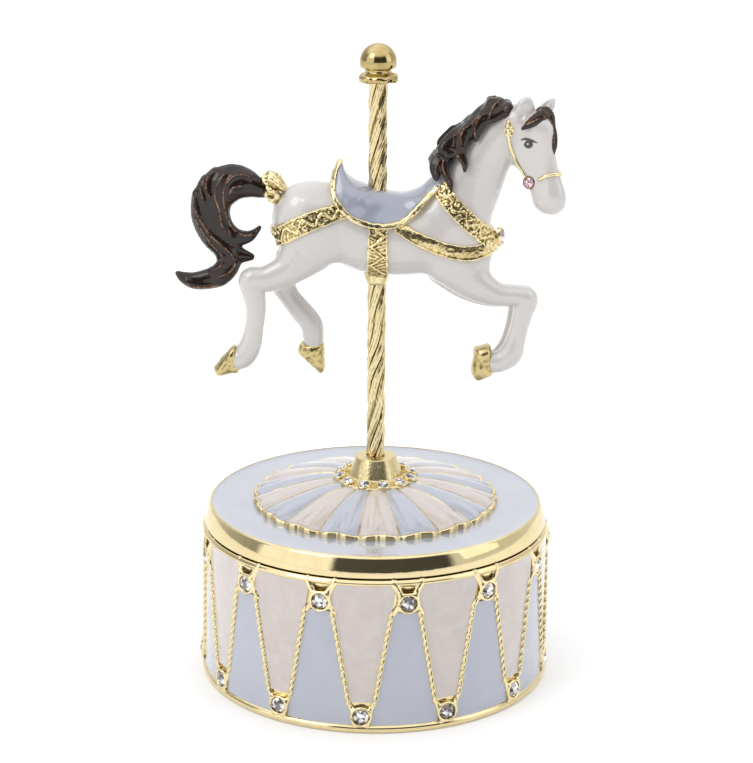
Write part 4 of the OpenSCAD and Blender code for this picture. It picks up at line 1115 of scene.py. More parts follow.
def carve(field, stations, soft):
    """Cuts a chain out of a field."""
    cut = field.blank()
    lay_chain(cut, stations, 0.3)
    field.value = soft_max(field.value, -cut.value, soft)


def horse():
    """The enamelled horse, with hollow ears."""
    field = Field(HORSE_LOW, HORSE_HIGH, HORSE_STEP)
    horse_form(field)
    for hollow in EAR_HOLLOWS:
        carve(field, hollow, 0.5)
    return piece("horse_enamel", skin(field), WHITE_MAT, "turntable", ["horse_body"])


def surface_of(obj):
    """A lookup tree of an object's mesh, in millimetres."""
    points = [v.co / MM for v in obj.data.vertices]
    return BVHTree.FromPolygons(points, [list(p.vertices) for p in obj.data.polygons])


def look_onto(tree, x, z, far_side=False, lift=0.0):
    """Where the line from the eye through (x, 0, z) meets a surface, or its mirror on the far side."""
    aim = np.array([x, 0.0, z]) - EYE
    hit, normal, _, _ = tree.ray_cast(Vector(EYE), Vector(aim))
    if hit is None:
        return None
    if far_side:
        start = Vector((hit.x, 60, hit.z))
        hit, normal, _, _ = tree.ray_cast(start, Vector((0, -1, 0)))
        if hit is None:
            return None
    return np.array(hit + normal * lift)


def drape(tree, line, far_side=False, lift=0.0, per=8):
    """A curve on a surface, given by how it looks from the eye."""
    points = [look_onto(tree, x, z, far_side, lift) for x, z in spline(line, per)]
    return np.array([p for p in points if p is not None])


# ------------------------------------------------------------------ hooves

NEAR_FORE_HOOF = [(23.2, 80.9), (26.8, 81.7), (27.6, 74.2), (23.6, 72.9), (22.4, 75.5)]
FAR_FORE_HOOF = [(x, z - 1.9) for x, z in NEAR_FORE_HOOF]
HOOVES = [(NEAR_FORE_HOOF, -3.4, 3.0), (FAR_FORE_HOOF, 3.2, 3.0),
          ([(-32.2, 74.7), (-37.2, 74.0), (-38.3, 75.4), (-34.4, 80.7), (-32.8, 81.8)], -4.6, 2.8),
          ([(-18.1, 79.7), (-12.4, 80.0), (-12.2, 73.0), (-13.3, 72.1), (-18.9, 77.4)], 4.4, 2.6)]


def hoof_field(outline, middle, half, seed):
    """A hoof with a given outline in side view and a beaten surface."""
    corners = np.array(outline)
    low, high = corners.min(0), corners.max(0)
    field = Field((low[0] - 1.2, middle - half - 1.2, low[1] - 1.2),
                  (high[0] + 1.2, middle + half + 1.2, high[1] + 1.2), 0.2)
    x, y, z = field.everywhere()
    form = np.full(field.count, -FAR)
    for a, b in zip(corners, np.roll(corners, -1, 0)):
        out = np.array([a[1] - b[1], b[0] - a[0]]) / np.linalg.norm(b - a)
        form = soft_max(form, (x - a[0]) * out[0] + (z - a[1]) * out[1], 0.7)
    form = soft_max(form, np.abs(y - middle) - half + 0 * form, 2.6)
    dent = 0.16 * value_noise(x, y, z, 1.9, seed) + 0.05 * value_noise(x, y, z, 0.7, seed + 1)
    field.value = (form + dent).astype(np.float32)
    return field


def hooves():
    """The four gold hooves."""
    shape = Shape()
    for i, (outline, middle, half) in enumerate(HOOVES):
        shape.add_shape(skin(hoof_field(outline, middle, half, 60 + i)))
    piece("hooves_gold", shape, HOOF_MAT, "turntable", ["hooves"])


# ------------------------------------------------------------------ harness

STRAP_T = 0.55
STRAP_STEP = 0.16


def band_map(line, x, z):
    """Run along a line in the XZ plane, signed distance off it, and distance to it, on a grid."""
    x, z = x[:, 0, :] + 0 * z[:, 0, :], z[:, 0, :] + 0 * x[:, 0, :]
    best = np.full(x.shape, 1e9)
    run, off = np.zeros(x.shape), np.zeros(x.shape)
    so_far = 0.0
    for a, b in zip(line, line[1:]):
        d = b - a
        length = np.linalg.norm(d)
        t = np.clip(((x - a[0]) * d[0] + (z - a[1]) * d[1]) / length ** 2, 0, 1)
        px, pz = x - a[0] - t * d[0], z - a[1] - t * d[1]
        distance = np.hypot(px, pz)
        nearer = distance < best
        best = np.where(nearer, distance, best)
        run = np.where(nearer, so_far + t * length, run)
        off = np.where(nearer, np.sign(d[0] * pz - d[1] * px) * distance, off)
        so_far += length
    return run[:, None, :], off[:, None, :], best[:, None, :]


def scroll_relief(run, across):
    """Cast scrollwork: a winding stem with leaves, inside raised borders."""
    stem_line = 0.42 * np.sin(2 * np.pi * run / 4.6)
    stem = np.exp(-((across - stem_line) / 0.17) ** 2)
    leaf = np.exp(-((across + 1.1 * stem_line) / 0.30) ** 2) * (0.5 - 0.5 * np.cos(4 * np.pi * run / 4.6))
    veins = 0.5 + 0.5 * np.cos(2 * np.pi * (run / 0.85 + 0.9 * np.abs(across)))
    border = np.clip((np.abs(across) - 0.76) / 0.12, 0, 1)
    return 0.26 * border + (1 - border) * (0.10 + 0.26 * stem + 0.18 * leaf + 0.06 * veins)


def leaf_relief(run, across):
    """Cast leaves in a zigzag, one above the other, inside raised borders."""
    saw = np.abs((run / 2.4) % 2 - 1) * 2 - 1
    rib = np.exp(-((across - 0.62 * saw) / 0.17) ** 2)
    veins = 0.5 + 0.5 * np.cos(2 * np.pi * (run / 0.8 - 1.1 * across * np.sign(np.cos(np.pi * run / 2.4))))
    border = np.clip((np.abs(across) - 0.80) / 0.12, 0, 1)
    return 0.26 * border + (1 - border) * (0.10 + 0.28 * rib + 0.08 * veins)


def plain_relief(run, across):
    """A plain rounded band with a low rolled lower edge."""
    roll = np.exp(-((across + 0.82) / 0.14) ** 2)
    return 0.24 * (1 - across ** 2) + 0.16 * roll + 0.03 * np.sin(2.2 * run)


STRAPS = {
    "girth_strap": dict(
        line=[(0.4, 113.0), (0.2, 108.0), (0.1, 102.0), (0.1, 94.0)], half=[2.2, 2.25, 2.4, 2.45],
        box=((-3.4, -10, 94.0), (3.8, 10, 113.0)), relief=leaf_relief, rough=0.16),
    "rump_strap": dict(
        line=[(-26.0, 106.0), (-23.2, 107.4), (-16.0, 111.2), (-7.6, 114.1)], half=[2.2, 2.2, 2.1, 1.8],
        box=((-26.5, -9, 103.0), (-6.5, 9, 117.0)), relief=scroll_relief, rough=0.18),
    "shoulder_strap": dict(
        line=[(12.9, 121.1), (15.0, 118.0), (18.6, 114.0), (22.6, 110.2), (26.6, 106.8), (29.0, 105.3)],
        half=[1.6, 1.9, 2.0, 2.0, 1.9, 1.7],
        box=((11.4, -9, 103.0), (29.4, 9, 122.0)), relief=scroll_relief, rough=0.20),
    "breast_strap": dict(
        line=[(5.2, 110.0), (8.6, 108.1), (13.6, 105.7), (19.6, 104.2), (23.6, 104.4), (28.6, 106.1)],
        half=[1.3, 1.5, 1.7, 1.75, 1.75, 1.7],
        box=((2.0, -10, 101.4), (29.4, 10, 112.8)), relief=plain_relief, rough=0.09),
}


def strap(name, line, half, box, relief, rough):
    """A cast strap: a raised skin on the horse, cut to a band and worked with relief."""
    field = Field(*box, STRAP_STEP)
    horse_form(field)
    x, y, z = field.everywhere()
    stations = spline(np.column_stack([line, half]), 8)
    run, off, distance = band_map(stations[:, :2], x, z)
    total = np.linalg.norm(np.diff(stations[:, :2], axis=0), axis=1)
    knots = np.concatenate([[0], np.cumsum(total)])
    width = np.interp(run, knots, stations[:, 2])
    grain = value_noise(x, y, z, 0.55, 21) * 0.6 + value_noise(x, y, z, 0.3, 22) * 0.4
    height = STRAP_T + relief(run, np.clip(off / width, -1.2, 1.2)) + rough * grain
    edge = distance - width + 0.22 * value_noise(x, y, z, 1.1, 23)
    body = field.value
    form = soft_max(body - height, edge, 0.35)
    field.value = np.maximum(form, -(body + 0.45)).astype(np.float32)
    piece(f"{name}_cast", skin(field), CAST_MAT, "turntable", [name])


# ------------------------------------------------------------------ saddle

SADDLE_LOW = (-13, -11, 109)
SADDLE_HIGH = (16, 11, 128)
SADDLE_STEP = 0.2
SADDLE_EDGE = [(-8.4, 124.8), (-9.9, 122.6), (-10.3, 119.2), (-9.7, 116.6), (-8.3, 114.6), (-5.3, 112.1),
               (-1.4, 110.8), (2.6, 110.6), (5.8, 111.5), (8.3, 113.4), (10.4, 115.8), (13.4, 118.8)]
CANTLE = [(-8.6, 123.8, 0.55, 0.8), (-8.5, 122.0, 1.0, 2.0), (-8.0, 120.0, 1.5, 2.8),
          (-6.9, 117.8, 2.1, 3.4), (-5.0, 115.8, 2.8, 3.8)]
POMMEL = [(10.0, 114.6, 1.6, 3.0), (12.2, 117.2, 0.9, 1.6)]
SEAT = [(-4.5, 114.4, 2.6, 1.6), (1.0, 114.9, 2.2, 1.6), (7.5, 114.4, 2.0, 1.5)]


def plate_distance(x, y, z, a, b):
    """Distance to an upright plate between two levels; a level is x, z, radius and half width."""
    dx, dz = b[0] - a[0], b[1] - a[1]
    t = np.clip(((x - a[0]) * dx + (z - a[1]) * dz) / (dx * dx + dz * dz), 0, 1)
    half = a[3] + t * (b[3] - a[3])
    px, pz = x - a[0] - t * dx, z - a[1] - t * dz
    py = np.maximum(np.abs(y) - half, 0)
    return np.sqrt(px * px + py * py + pz * pz) - (a[2] + t * (b[2] - a[2]))


def saddle_fields():
    """The saddle's own form, the horse's, and the distance to the saddle's edge in side view."""
    field = Field(SADDLE_LOW, SADDLE_HIGH, SADDLE_STEP)
    horse_form(field)
    x, y, z = field.everywhere()
    body = field.value
    form = body - 1.0
    for levels in (CANTLE, SEAT, POMMEL):
        smooth = spline(levels, 6)
        plates = [plate_distance(x, y, z, a, b) for a, b in zip(smooth, smooth[1:])]
        form = soft_min(form, np.minimum.reduce(plates), 3.6)
    edge = spline(SADDLE_EDGE, 8)
    _, off, distance = band_map(edge, x, z)
    return field, form, body, off, distance, (x, y, z)


def saddle():
    """The saddle's enamel and the cast edging round it."""
    field, form, body, off, distance, (x, y, z) = saddle_fields()
    inside = soft_max(form, -off + 0.35, 0.3)
    field.value = np.maximum(inside, -(body + 0.5)).astype(np.float32)
    piece("saddle_enamel", skin(field), SADDLE_MAT, "turntable", ["saddle"])
    grain = value_noise(x, y, z, 0.7, 31) * 0.7 + value_noise(x, y, z, 0.35, 32) * 0.3
    swell = form - 0.42 - 0.14 * grain
    trim = soft_max(swell, distance - 0.62 + 0.12 * value_noise(x, y, z, 1.2, 33), 0.3)
    field.value = np.maximum(trim, -(body + 0.5)).astype(np.float32)
    piece("saddle_edging", skin(field), CAST_MAT, "turntable", ["saddle_trim"])


# ------------------------------------------------------------------ bridle, stones and eyes

CHEEK_LINE = [(29.9, 133.9), (29.9, 130.8), (30.5, 127.6), (32.1, 124.4), (33.7, 121.8), (34.6, 120.6)]
NOSE_LINE = [(37.2, 120.2), (38.5, 120.9), (40.2, 121.4), (41.6, 121.4), (42.2, 121.1)]
BIT_STONE = (35.1, 119.6)
ROSETTE = [(29.9, 133.6, 0.55), (29.8, 132.7, 0.65), (30.6, 132.1, 0.6), (29.3, 131.9, 0.45),
           (30.1, 131.3, 0.7), (30.9, 131.6, 0.45), (29.6, 130.7, 0.5), (30.6, 130.6, 0.45)]


def across_head(point):
    """The matching point on the other side of the head."""
    u, v, z = HEAD.into(*point)
    return HEAD.out([u, -v, z])


def cast_beads(tree, beads):
    """A cluster of small cast lumps on a surface, run into one another."""
    centres = [(look_onto(tree, x, z), r) for x, z, r in beads]
    places = np.array([c for c, _ in centres])
    field = Field(places.min(0) - 1.6, places.max(0) + 1.6, 0.12)
    x, y, z = field.everywhere()
    for centre, r in centres:
        d = np.sqrt((x - centre[0]) ** 2 + (y - centre[1]) ** 2 + (z - centre[2]) ** 2) - r
        field.value = soft_min(field.value, d.astype(np.float32), 0.25)
    field.value += (0.08 * value_noise(x, y, z, 0.5, 71)).astype(np.float32)
    return skin(field)


def bridle(tree):
    """Cheek strap and rosette on the near side, and the same strap on the far side."""
    near = drape(tree, CHEEK_LINE, lift=0.1)
    t = np.linspace(0, 1, len(near))
    shape = tube(near, 0.42 * (0.55 + 0.45 * np.sin(np.pi * t) ** 0.4), 8)
    far = np.array([across_head(p) for p in near])
    shape.add_shape(tube(onto(tree, far, 0.1), 0.36, 8))
    shape.add_shape(cast_beads(tree, ROSETTE))
    piece("cheek_strap", shape, CAST_MAT, "turntable", ["bridle"])


def onto(tree, points, lift):
    """The nearest places on a surface to some points."""
    placed = []
    for point in points:
        hit, normal, _, _ = tree.find_nearest(Vector(point))
        placed.append(hit + normal * lift)
    return np.array(placed)


def noseband(tree):
    """The band over the nose, carried on round the far side."""
    near = drape(tree, NOSE_LINE, lift=0.05)
    far = np.array([across_head(p) for p in near[::-1]])
    path = onto(tree, spline(np.concatenate([near, far])[::5], 4), 0.08)
    piece("nose_strap", tube(path, 0.45, 8), CAST_MAT, "turntable", ["noseband"])


def bridle_stones(tree):
    """Pink stones in dark settings where the straps meet the bit."""
    cups, stones = Shape(), Shape()
    near = look_onto(tree, *BIT_STONE)
    outward = HEAD.out([0, -1, 0]) - HEAD.out([0, 0, 0])
    for place, out in ((near, outward), (across_head(near), -outward)):
        cups.add_shape(stone_seat(1.22), aimed(place + 0.25 * out, out))
        stones.add_shape(brilliant(1.28), aimed(place + 0.38 * out, out, 0.4))
    piece("bit_cups", cups, COPPER_MAT, "turntable", sharp_deg=50)
    piece("bit_stones", stones, PINK_MAT, "turntable", ["bridle_crystals"], smooth=False)


def breast_stone(tree):
    """The pink stone at the meeting of the breast straps, in its gold setting."""
    hit, _, _, _ = tree.ray_cast(Vector((60, 0, 106.8)), Vector((-1, 0, 0)))
    out = np.array([0.985, -0.17, 0.0])
    stretch = np.diag([0.75, 1.15, 1.0, 1.0])
    cups, stones = Shape(), Shape()
    cups.add_shape(stone_seat(1.75), aimed(np.array(hit) + 1.6 * out, out) @ stretch)
    stones.add_shape(brilliant(1.8), aimed(np.array(hit) + 1.9 * out, out) @ stretch)
    piece("breast_cup", cups, CAST_MAT, "turntable", sharp_deg=50)
    piece("breast_stone", stones, PINK_MAT, "turntable", ["breast_gem"], smooth=False)


def painted_patch(tree, outline, lift, mirror):
    """A thin patch of paint on the head, given by its outline as seen from the eye."""
    outline = np.asarray(outline, float)
    centre = outline.mean(0)
    rings = [centre + share * (outline - centre) for share in (0.001, 0.35, 0.7, 1.0)]
    points = []
    for ring in rings:
        for x, z in ring:
            near = look_onto(tree, x, z)
            points.append(across_head(near) if mirror else near)
    points = np.array(points)
    count = len(outline)
    last = (len(rings) - 1) * count
    shape = sheet_pair(onto(tree, points, lift), onto(tree, points, -0.05),
                       grid_faces(len(rings), count, False, True), [[last + j for j in range(count)]])
    shape.faces.append(list(range(count)))
    shape.faces.append([i + len(points) for i in range(count)][::-1])
    return shape


EYE_CENTRE = (34.65, 128.45)
LASH = [(32.8, 129.45), (33.6, 129.7), (34.6, 129.6), (35.6, 129.25), (36.7, 128.8)]


def oval(centre, rx, rz, count=24):
    """An oval outline in the side view."""
    a = np.linspace(0, 2 * np.pi, count, endpoint=False)
    return np.stack([centre[0] + rx * np.cos(a), centre[1] + rz * np.sin(a)], -1)


def eyes(tree):
    """On both sides a dark eye with its upper lid, and the light in it."""
    paint, shine = Shape(), Shape()
    for mirror in (False, True):
        paint.add_shape(painted_patch(tree, oval(EYE_CENTRE, 1.0, 0.9), 0.10, mirror))
        paint.add_shape(lash_tube(tree, mirror))
        shine.add_shape(painted_patch(tree, oval((34.5, 128.6), 0.2, 0.2, 12), 0.16, mirror))
    piece("eye_black", paint, EYE_MAT, "turntable")
    piece("eye_shine", shine, LIGHT_MAT, "turntable")


def lash_tube(tree, mirror):
    """The upper lid's painted line."""
    path = drape(tree, LASH, lift=0.0, per=6)
    if mirror:
        path = np.array([across_head(p) for p in path])
    path = onto(tree, path, 0.02)
    t = np.linspace(0, 1, len(path))
    return tube(path, 0.05 + 0.26 * np.sin(np.pi * t) ** 0.8, 8)


# ------------------------------------------------------------------ hair

TAIL = [[(-24.6, 0.0, 117.0, 1.6, 0.9), (-26.8, 0.0, 117.4, 2.4, 0.9), (-29.6, 0.0, 118.6, 3.5, 0.82),
         (-33.6, 0.0, 119.1, 4.85, 0.7), (-37.5, -0.1, 116.4, 5.15, 0.66), (-38.8, -0.2, 112.0, 5.0, 0.66),
         (-37.5, -0.3, 107.4, 4.5, 0.68), (-35.2, -0.4, 103.6, 3.6, 0.75), (-34.6, -0.4, 100.0, 3.3, 0.8),
         (-36.6, -0.3, 97.2, 3.1, 0.8), (-39.8, -0.2, 96.1, 2.85, 0.8), (-42.7, -0.1, 95.7, 2.5, 0.8),
         (-45.1, 0.0, 96.4, 1.85, 0.85), (-46.6, 0.0, 97.4, 1.1, 0.9)],
        [(-35.6, -0.4, 106.8, 3.2, 0.75), (-32.6, -0.6, 106.0, 2.4, 0.8), (-29.6, -0.6, 106.4, 1.7, 0.85),
         (-27.3, -0.6, 108.4, 0.75, 0.9)],
        [(-33.6, -0.4, 102.2, 2.9, 0.8), (-30.9, -0.5, 101.8, 2.0, 0.85), (-29.4, -0.5, 101.6, 1.4, 0.9)]]
TAIL_LINES = [
    [(-38.0, 121.8), (-39.3, 120.1), (-39.6, 117.8), (-38.8, 115.6)],
    [(-40.6, 119.8), (-41.0, 117.6), (-40.2, 114.6)],
    [(-42.6, 116.0), (-42.3, 113.0), (-41.1, 110.0), (-38.9, 106.6),
     (-36.4, 104.3), (-34.1, 102.2), (-33.5, 100.8)],
    [(-42.2, 110.3), (-40.4, 107.1), (-38.3, 104.2), (-35.9, 101.2)],
    [(-35.3, 120.9), (-37.1, 118.4), (-37.6, 115.6), (-36.7, 112.5), (-36.2, 109.2), (-35.0, 106.6)],
    [(-29.2, 120.3), (-31.4, 120.9), (-33.6, 120.3), (-35.3, 118.1), (-35.7, 115.2), (-35.1, 111.3),
     (-33.6, 108.2), (-31.2, 106.6), (-28.7, 107.0), (-27.4, 108.4)],
    [(-33.2, 101.0), (-33.2, 99.3), (-34.6, 97.6), (-36.9, 96.6)],
    [(-36.3, 99.4), (-38.6, 97.7)],
    [(-44.6, 94.9), (-42.4, 94.1), (-39.4, 94.0), (-36.4, 94.7)],
    [(-31.4, 118.3), (-33.4, 117.8), (-34.3, 116.3)],
]


def near_far(stations, y):
    """A lock on the near side of the neck and its twin on the far side; z is as seen at y = 0."""
    for side in (-1, 1):
        lock = []
        for x, z, r, slim, out in stations:
            place = seen(x, z, -out)
            lock.append((place[0], y + side * (out + y * side), place[2], r, slim))
        yield lock


CREST = [(30.6, -0.4, 136.2, 1.8, 0.9), (27.2, -0.4, 137.3, 2.35, 0.9), (24.0, -0.4, 134.8, 2.5, 0.95),
         (20.7, -0.4, 131.6, 2.6, 0.95), (17.1, -0.4, 128.5, 2.45, 0.95), (14.3, -0.4, 124.2, 2.4, 0.95),
         (14.4, -0.4, 120.4, 1.8, 0.95)]
LOCKS = [
    [(29.6, 136.7, 1.8, 0.8, 2.0), (28.2, 135.7, 1.7, 0.7, 3.2), (26.4, 134.3, 1.3, 0.7, 3.9),
     (25.0, 133.5, 0.7, 0.8, 4.1)],
    [(26.5, 137.1, 2.2, 0.8, 1.6), (24.6, 134.5, 2.0, 0.7, 3.2), (23.2, 132.1, 1.5, 0.7, 4.0),
     (22.5, 129.5, 0.8, 0.8, 4.3)],
    [(23.4, 134.1, 2.1, 0.8, 1.6), (20.6, 131.5, 1.9, 0.7, 3.2), (19.3, 128.7, 1.6, 0.7, 4.2),
     (19.4, 126.1, 1.3, 0.7, 4.7), (20.2, 123.9, 1.0, 0.8, 5.0), (20.1, 122.1, 0.5, 0.9, 5.2)],
    [(19.3, 131.5, 1.8, 0.8, 1.6), (16.7, 129.4, 1.7, 0.7, 3.0), (15.5, 127.2, 1.8, 0.7, 3.8),
     (16.8, 126.1, 1.2, 0.7, 4.4)],
    [(15.3, 125.8, 1.9, 0.8, 2.2), (13.6, 123.3, 1.7, 0.7, 3.4), (13.6, 121.2, 1.2, 0.7, 4.1),
     (13.8, 120.0, 0.6, 0.8, 4.3)],
    [(15.8, 124.3, 1.3, 0.8, 3.4), (15.9, 121.6, 1.1, 0.7, 4.6), (16.8, 119.4, 0.9, 0.8, 5.2),
     (17.2, 117.5, 0.5, 0.9, 5.6)],
]
MANE_LINES = [
    [(25.5, 134.3), (25.7, 135.8), (26.6, 137.5), (27.8, 138.7)],
    [(24.4, 135.5), (22.6, 134.4), (21.2, 132.9), (19.4, 131.7), (17.9, 130.4), (17.4, 129.0), (17.5, 127.4),
     (18.1, 126.0), (19.3, 124.4), (20.0, 122.8)],
    [(23.4, 135.0), (22.3, 133.2), (22.2, 131.1), (22.4, 129.8)],
    [(19.6, 131.4), (19.0, 130.0), (19.4, 128.0)],
    [(16.9, 132.0), (14.7, 131.0), (13.7, 129.6), (13.4, 128.0), (13.9, 126.6)],
    [(13.4, 126.2), (12.2, 124.7), (12.0, 123.3), (12.6, 121.6), (13.2, 120.4)],
    [(15.9, 125.6), (15.0, 124.1), (15.2, 122.2), (16.2, 120.4), (16.9, 118.9)],
    [(14.2, 124.6), (13.5, 123.0), (13.3, 120.9)],
    [(25.2, 138.6), (26.2, 139.5), (27.8, 139.6)],
    [(23.2, 136.6), (21.4, 135.7), (20.2, 134.4)],
    [(29.6, 137.6), (29.0, 136.4), (29.4, 135.4)],
]
FORELOCK = [[(37.2, -2.4, 136.3, 1.5, 0.9), (38.8, -3.2, 135.7, 1.5, 0.85), (39.4, -4.0, 133.4, 1.15, 0.8),
             (39.8, -4.6, 131.2, 1.2, 0.8), (40.0, -5.0, 129.0, 0.95, 0.8), (40.0, -5.0, 126.9, 0.45, 0.9)],
            [(38.2, -3.2, 136.6, 1.3, 0.9), (36.6, -4.7, 135.4, 1.5, 0.7), (34.9, -5.8, 134.5, 1.15, 0.7),
             (32.8, -6.1, 133.2, 0.5, 0.9)]]
FORELOCK_LINES = [[(37.8, 136.6), (39.4, 134.6), (40.3, 131.4), (40.6, 128.4)],
                  [(37.9, 135.2), (38.9, 132.8), (39.7, 130.0)],
                  [(38.2, 137.2), (36.4, 135.9), (34.6, 134.3), (33.4, 132.8)],
                  [(37.2, 134.6), (35.6, 133.8), (34.0, 133.0)]]
RIDGE_WIDTH = 0.75
HAIR_STEP = 0.25


def ridged(field, lines, depth):
    """Lowers a form's surface everywhere but along lines, so that they stand up as ridges."""
    x, _, z = field.everywhere()
    nearest = None
    for line in lines:
        points = np.array([seen(px, pz, -3.0)[[0, 2]] for px, pz in spline(line, 5)])
        distance = band_map(points, x, z)[2]
        nearest = distance if nearest is None else np.minimum(nearest, distance)
    field.value = (field.value + depth * (1 - np.exp(-(nearest / RIDGE_WIDTH) ** 2))).astype(np.float32)


def hair(name, low, high, chains, lines, soft, depth, nodes):
    """A mass of enamelled locks with bare copper along its ridges."""
    field = Field(low, high, HAIR_STEP)
    for chain in chains:
        lay_chain(field, chain, soft)
    ridged(field, lines, depth)
    obj = piece(name, skin(field), HAIR_MAT, "turntable", nodes)
    tree = surface_of(obj)
    edges = Shape()
    for line in lines:
        for far_side in (False, True):
            path = drape(tree, line, far_side, 0.02)
            if len(path) > 4 and np.linalg.norm(np.diff(path, axis=0), axis=1).max() < 2.5:
                t = np.linspace(0, 1, len(path))
                edges.add_shape(tube(path, 0.06 + 0.13 * np.sin(np.pi * t) ** 0.5, 7))
    piece(f"{name}_edges", edges, COPPER_MAT, "turntable")


def mane_chains():
    """The crest and, on both sides of it, the locks."""
    chains = [CREST]
    for lock in LOCKS:
        chains += list(near_far(lock, 0.0))
    return chains


# ------------------------------------------------------------------ tail bow

BOW_LOOP = [(-26.4, -1.0, 119.2, 0.9), (-25.2, -1.6, 120.1, 1.2), (-23.9, -1.8, 119.8, 1.5),
            (-22.7, -1.6, 118.6, 1.2), (-21.8, -1.2, 117.4, 0.6)]
BOW_CUFF = [(-25.6, -1.4, 118.4, 0.9), (-24.8, -1.9, 117.3, 1.4), (-24.0, -1.9, 116.2, 1.5),
            (-23.2, -1.4, 115.3, 1.0)]


def tail_bow():
    """A crumpled ribbon bow round the root of the tail."""
    field = Field((-29, -5, 112.5), (-19, 5, 123.5), 0.17)
    for chain in (BOW_LOOP, BOW_CUFF):
        for side in (1, -1):
            lay_chain(field, [(x, y * side, z, r) for x, y, z, r in chain], 0.25)
    lay_chain(field, [(-24.6, -1.0, 120.9, 0.8), (-24.2, 1.0, 120.9, 0.8)], 0.4)
    x, y, z = field.everywhere()
    folds = np.sin(2.2 * (x + z) + 1.6 * value_noise(x, y, z, 1.8, 92))
    crumple = 0.30 * value_noise(x, y, z, 1.5, 91) + 0.22 * folds + 0.05 * value_noise(x, y, z, 0.5, 93)
    field.value = (field.value + crumple).astype(np.float32)
    piece("bow_cast", skin(field), CAST_MAT, "turntable", ["tail_bow"])


# ------------------------------------------------------------------ key

def winding_key():
    """The butterfly key, with softened edges."""
    low, high = (np.array(corner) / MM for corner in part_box("winding_key"))
    field = Field(low - 1.2, high + 1.2, 0.25)
    x, y, z = field.everywhere()
    span, wing_r, wing_z = high[0], 3.3, 5.1
    centre = span - wing_r
    lobe = np.hypot(np.abs(x) - centre, z - wing_z) - wing_r
    bar = np.maximum(np.abs(x) - centre, np.abs(z - wing_z) - 1.7)
    outline = soft_min(lobe, bar, 1.6)
    hole = np.hypot(np.abs(x) - centre, z - wing_z) - 1.3
    blade = soft_max(soft_max(outline, np.abs(y) - 0.75, 0.6), -hole, 0.4)
    post = soft_max(np.hypot(x, y) - 3.1, np.maximum(low[2] - z, z - high[2]), 0.6)
    form = soft_min(blade, post, 0.8)
    bore = np.maximum(np.hypot(x, y) - 2.0, low[2] + 1.2 - z)
    field.value = np.maximum(form, -bore).astype(np.float32)
    piece("key_cast", skin(field), GOLD_MAT, "key", ["winding_key"])


# ------------------------------------------------------------------ stage

def add_floor():
    """A pale floor just under the drum, with a little light of its own so that it stays near white."""
    half, z = 20.0, -0.0002
    corners = [(-half, -half, z), (half, -half, z), (half, half, z), (-half, half, z)]
    mesh = bpy.data.meshes.new("floor")
    mesh.from_pydata(corners, [], [(0, 1, 2, 3)])
    look = Look("floor_white")
    grain = look.noise(0.01, 2)
    look.colour(look.ramp(grain, (0.3, grey(0.88)), (0.7, grey(0.90))))
    look.roughness(look.between(grain, 0.7, 0.8))
    look.feed(look.shader.inputs["Emission Color"], look.ramp(grain, (0.3, grey(0.97)), (0.7, grey(1.0))))
    look.shader.inputs["Emission Strength"].default_value = 0.14
    mesh.materials.append(look.mat)
    floor = bpy.data.objects.new("floor", mesh)
    scene.collection.objects.link(floor)


def add_area(name, place, target, size, power):
    """A rectangular lamp at a place, turned to a target."""
    data = bpy.data.lights.new(name, "AREA")
    data.shape = "RECTANGLE"
    data.size, data.size_y = size
    data.energy = power
    light = bpy.data.objects.new(name, data)
    light.location = place
    aim = Vector(target) - Vector(place)
    light.rotation_euler = aim.to_track_quat("-Z", "Y").to_euler()
    scene.collection.objects.link(light)


ROOM = [(-180, 1.10), (-150, 0.90), (-110, 0.50), (-84, 0.36), (-79, 1.25), (-30, 1.25), (-26, 0.09),
        (50, 0.07), (54, 0.78), (110, 0.75), (150, 0.95), (180, 1.10)]
CEILING = 1.35
CEILING_FROM = 0.48
CEILING_FULL = 0.76


def math_node(tree, operation, *inputs):
    """A sum in a node tree; inputs are sockets or numbers."""
    made = tree.nodes.new("ShaderNodeMath")
    made.operation = operation
    for socket, value in zip(made.inputs, inputs):
        if isinstance(value, bpy.types.NodeSocket):
            tree.links.new(value, socket)
        else:
            socket.default_value = value
    return made.outputs[0]


def room_level(tree, x, y):
    """The brightness of the room's walls, by the direction in which they stand."""
    azimuth = math_node(tree, "ARCTAN2", x, math_node(tree, "MULTIPLY", y, -1.0))
    place = math_node(tree, "MULTIPLY_ADD", azimuth, 0.5 / math.pi, 0.5)
    ramp = tree.nodes.new("ShaderNodeValToRGB")
    tree.links.new(place, ramp.inputs[0])
    while len(ramp.color_ramp.elements) < len(ROOM):
        ramp.color_ramp.elements.new(1.0)
    for element, (degrees, level) in zip(ramp.color_ramp.elements, ROOM):
        element.position = degrees / 360 + 0.5
        element.color = (level, level, level, 1)
    return ramp.outputs[0]


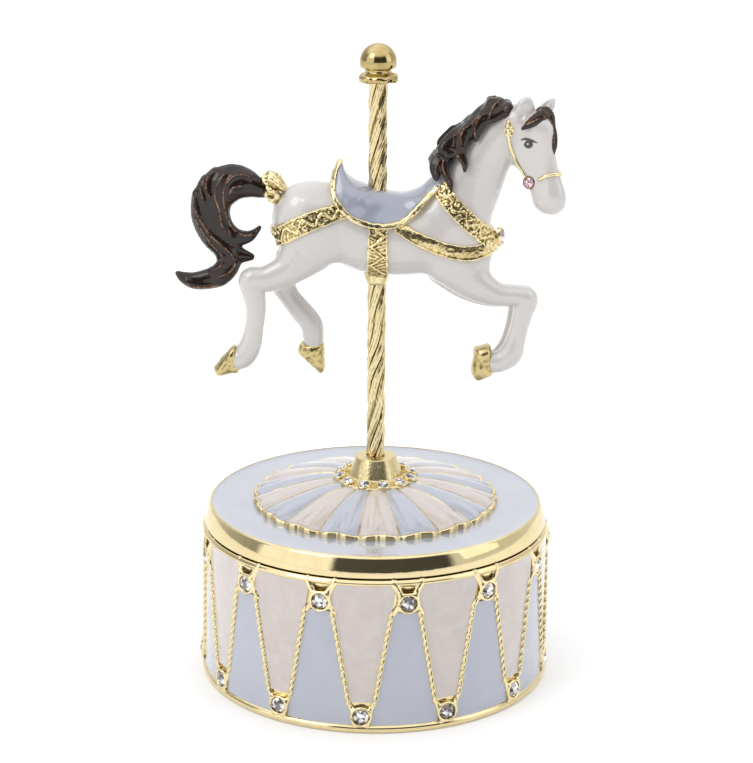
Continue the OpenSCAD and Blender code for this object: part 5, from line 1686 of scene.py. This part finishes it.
def add_world():
    """A white room: bright panels at the sides and overhead, and dark where the camera stands."""
    world = bpy.data.worlds.new("studio")
    world.use_nodes = True
    tree = world.node_tree
    split = tree.nodes.new("ShaderNodeSeparateXYZ")
    tree.links.new(tree.nodes.new("ShaderNodeTexCoord").outputs["Generated"], split.inputs[0])
    x, y, z = split.outputs
    walls = room_level(tree, x, y)
    up = tree.nodes.new("ShaderNodeMapRange")
    up.interpolation_type = "SMOOTHSTEP"
    tree.links.new(z, up.inputs["Value"])
    up.inputs["From Min"].default_value = CEILING_FROM
    up.inputs["From Max"].default_value = CEILING_FULL
    mix = tree.nodes.new("ShaderNodeMix")
    mix.data_type = "RGBA"
    factor, low, high = mix.inputs[0], mix.inputs[6], mix.inputs[7]
    tree.links.new(up.outputs[0], factor)
    tree.links.new(walls, low)
    high.default_value = (CEILING, CEILING, CEILING, 1)
    tree.links.new(mix.outputs[2], tree.nodes["Background"].inputs["Color"])
    scene.world = world


def add_light():
    """Two soft lamps beside the camera."""
    centre = (0, 0, 0.08)
    add_area("key_left", (-0.55, -0.45, 0.75), centre, (0.4, 0.4), 1.2)
    add_area("fill_right", (0.85, -0.25, 0.45), centre, (0.5, 0.6), 0.6)
    scene.view_settings.view_transform = "Standard"


# ------------------------------------------------------------------ build

def build_base():
    """The drum, the lid with its dome, the pole and the key."""
    drum_casting()
    drum_enamels()
    drum_stones()
    lid()
    dome_shell()
    dome_wedges("dome_petals_cream", 0, CREAM_MAT, "dome_cream")
    dome_wedges("dome_petals_blue", 1, BLUE_MAT, "dome_blue")
    collar()
    pole()
    belly_cap()
    finial()
    winding_key()


def build_horse():
    """The horse with its harness, eyes and hair."""
    tree = surface_of(horse())
    hooves()
    for name, settings in STRAPS.items():
        strap(name, **settings)
    saddle()
    bridle(tree)
    noseband(tree)
    bridle_stones(tree)
    breast_stone(tree)
    eyes(tree)
    hair("mane_enamel", (9, -9, 114), (34, 9, 142.5), mane_chains(), MANE_LINES, 0.8, 0.35, ["mane"])
    hair("forelock_enamel", (31, -7, 124), (43, 2, 139.5), FORELOCK, FORELOCK_LINES, 0.6, 0.15, ["forelock"])
    hair("tail_enamel", (-49.5, -6, 91), (-22.5, 6, 127), TAIL, TAIL_LINES, 1.0, 0.5, ["tail"])
    tail_bow()


add_camera()
dress_cad_nodes()
build_base()
build_horse()
add_floor()
add_world()
add_light()
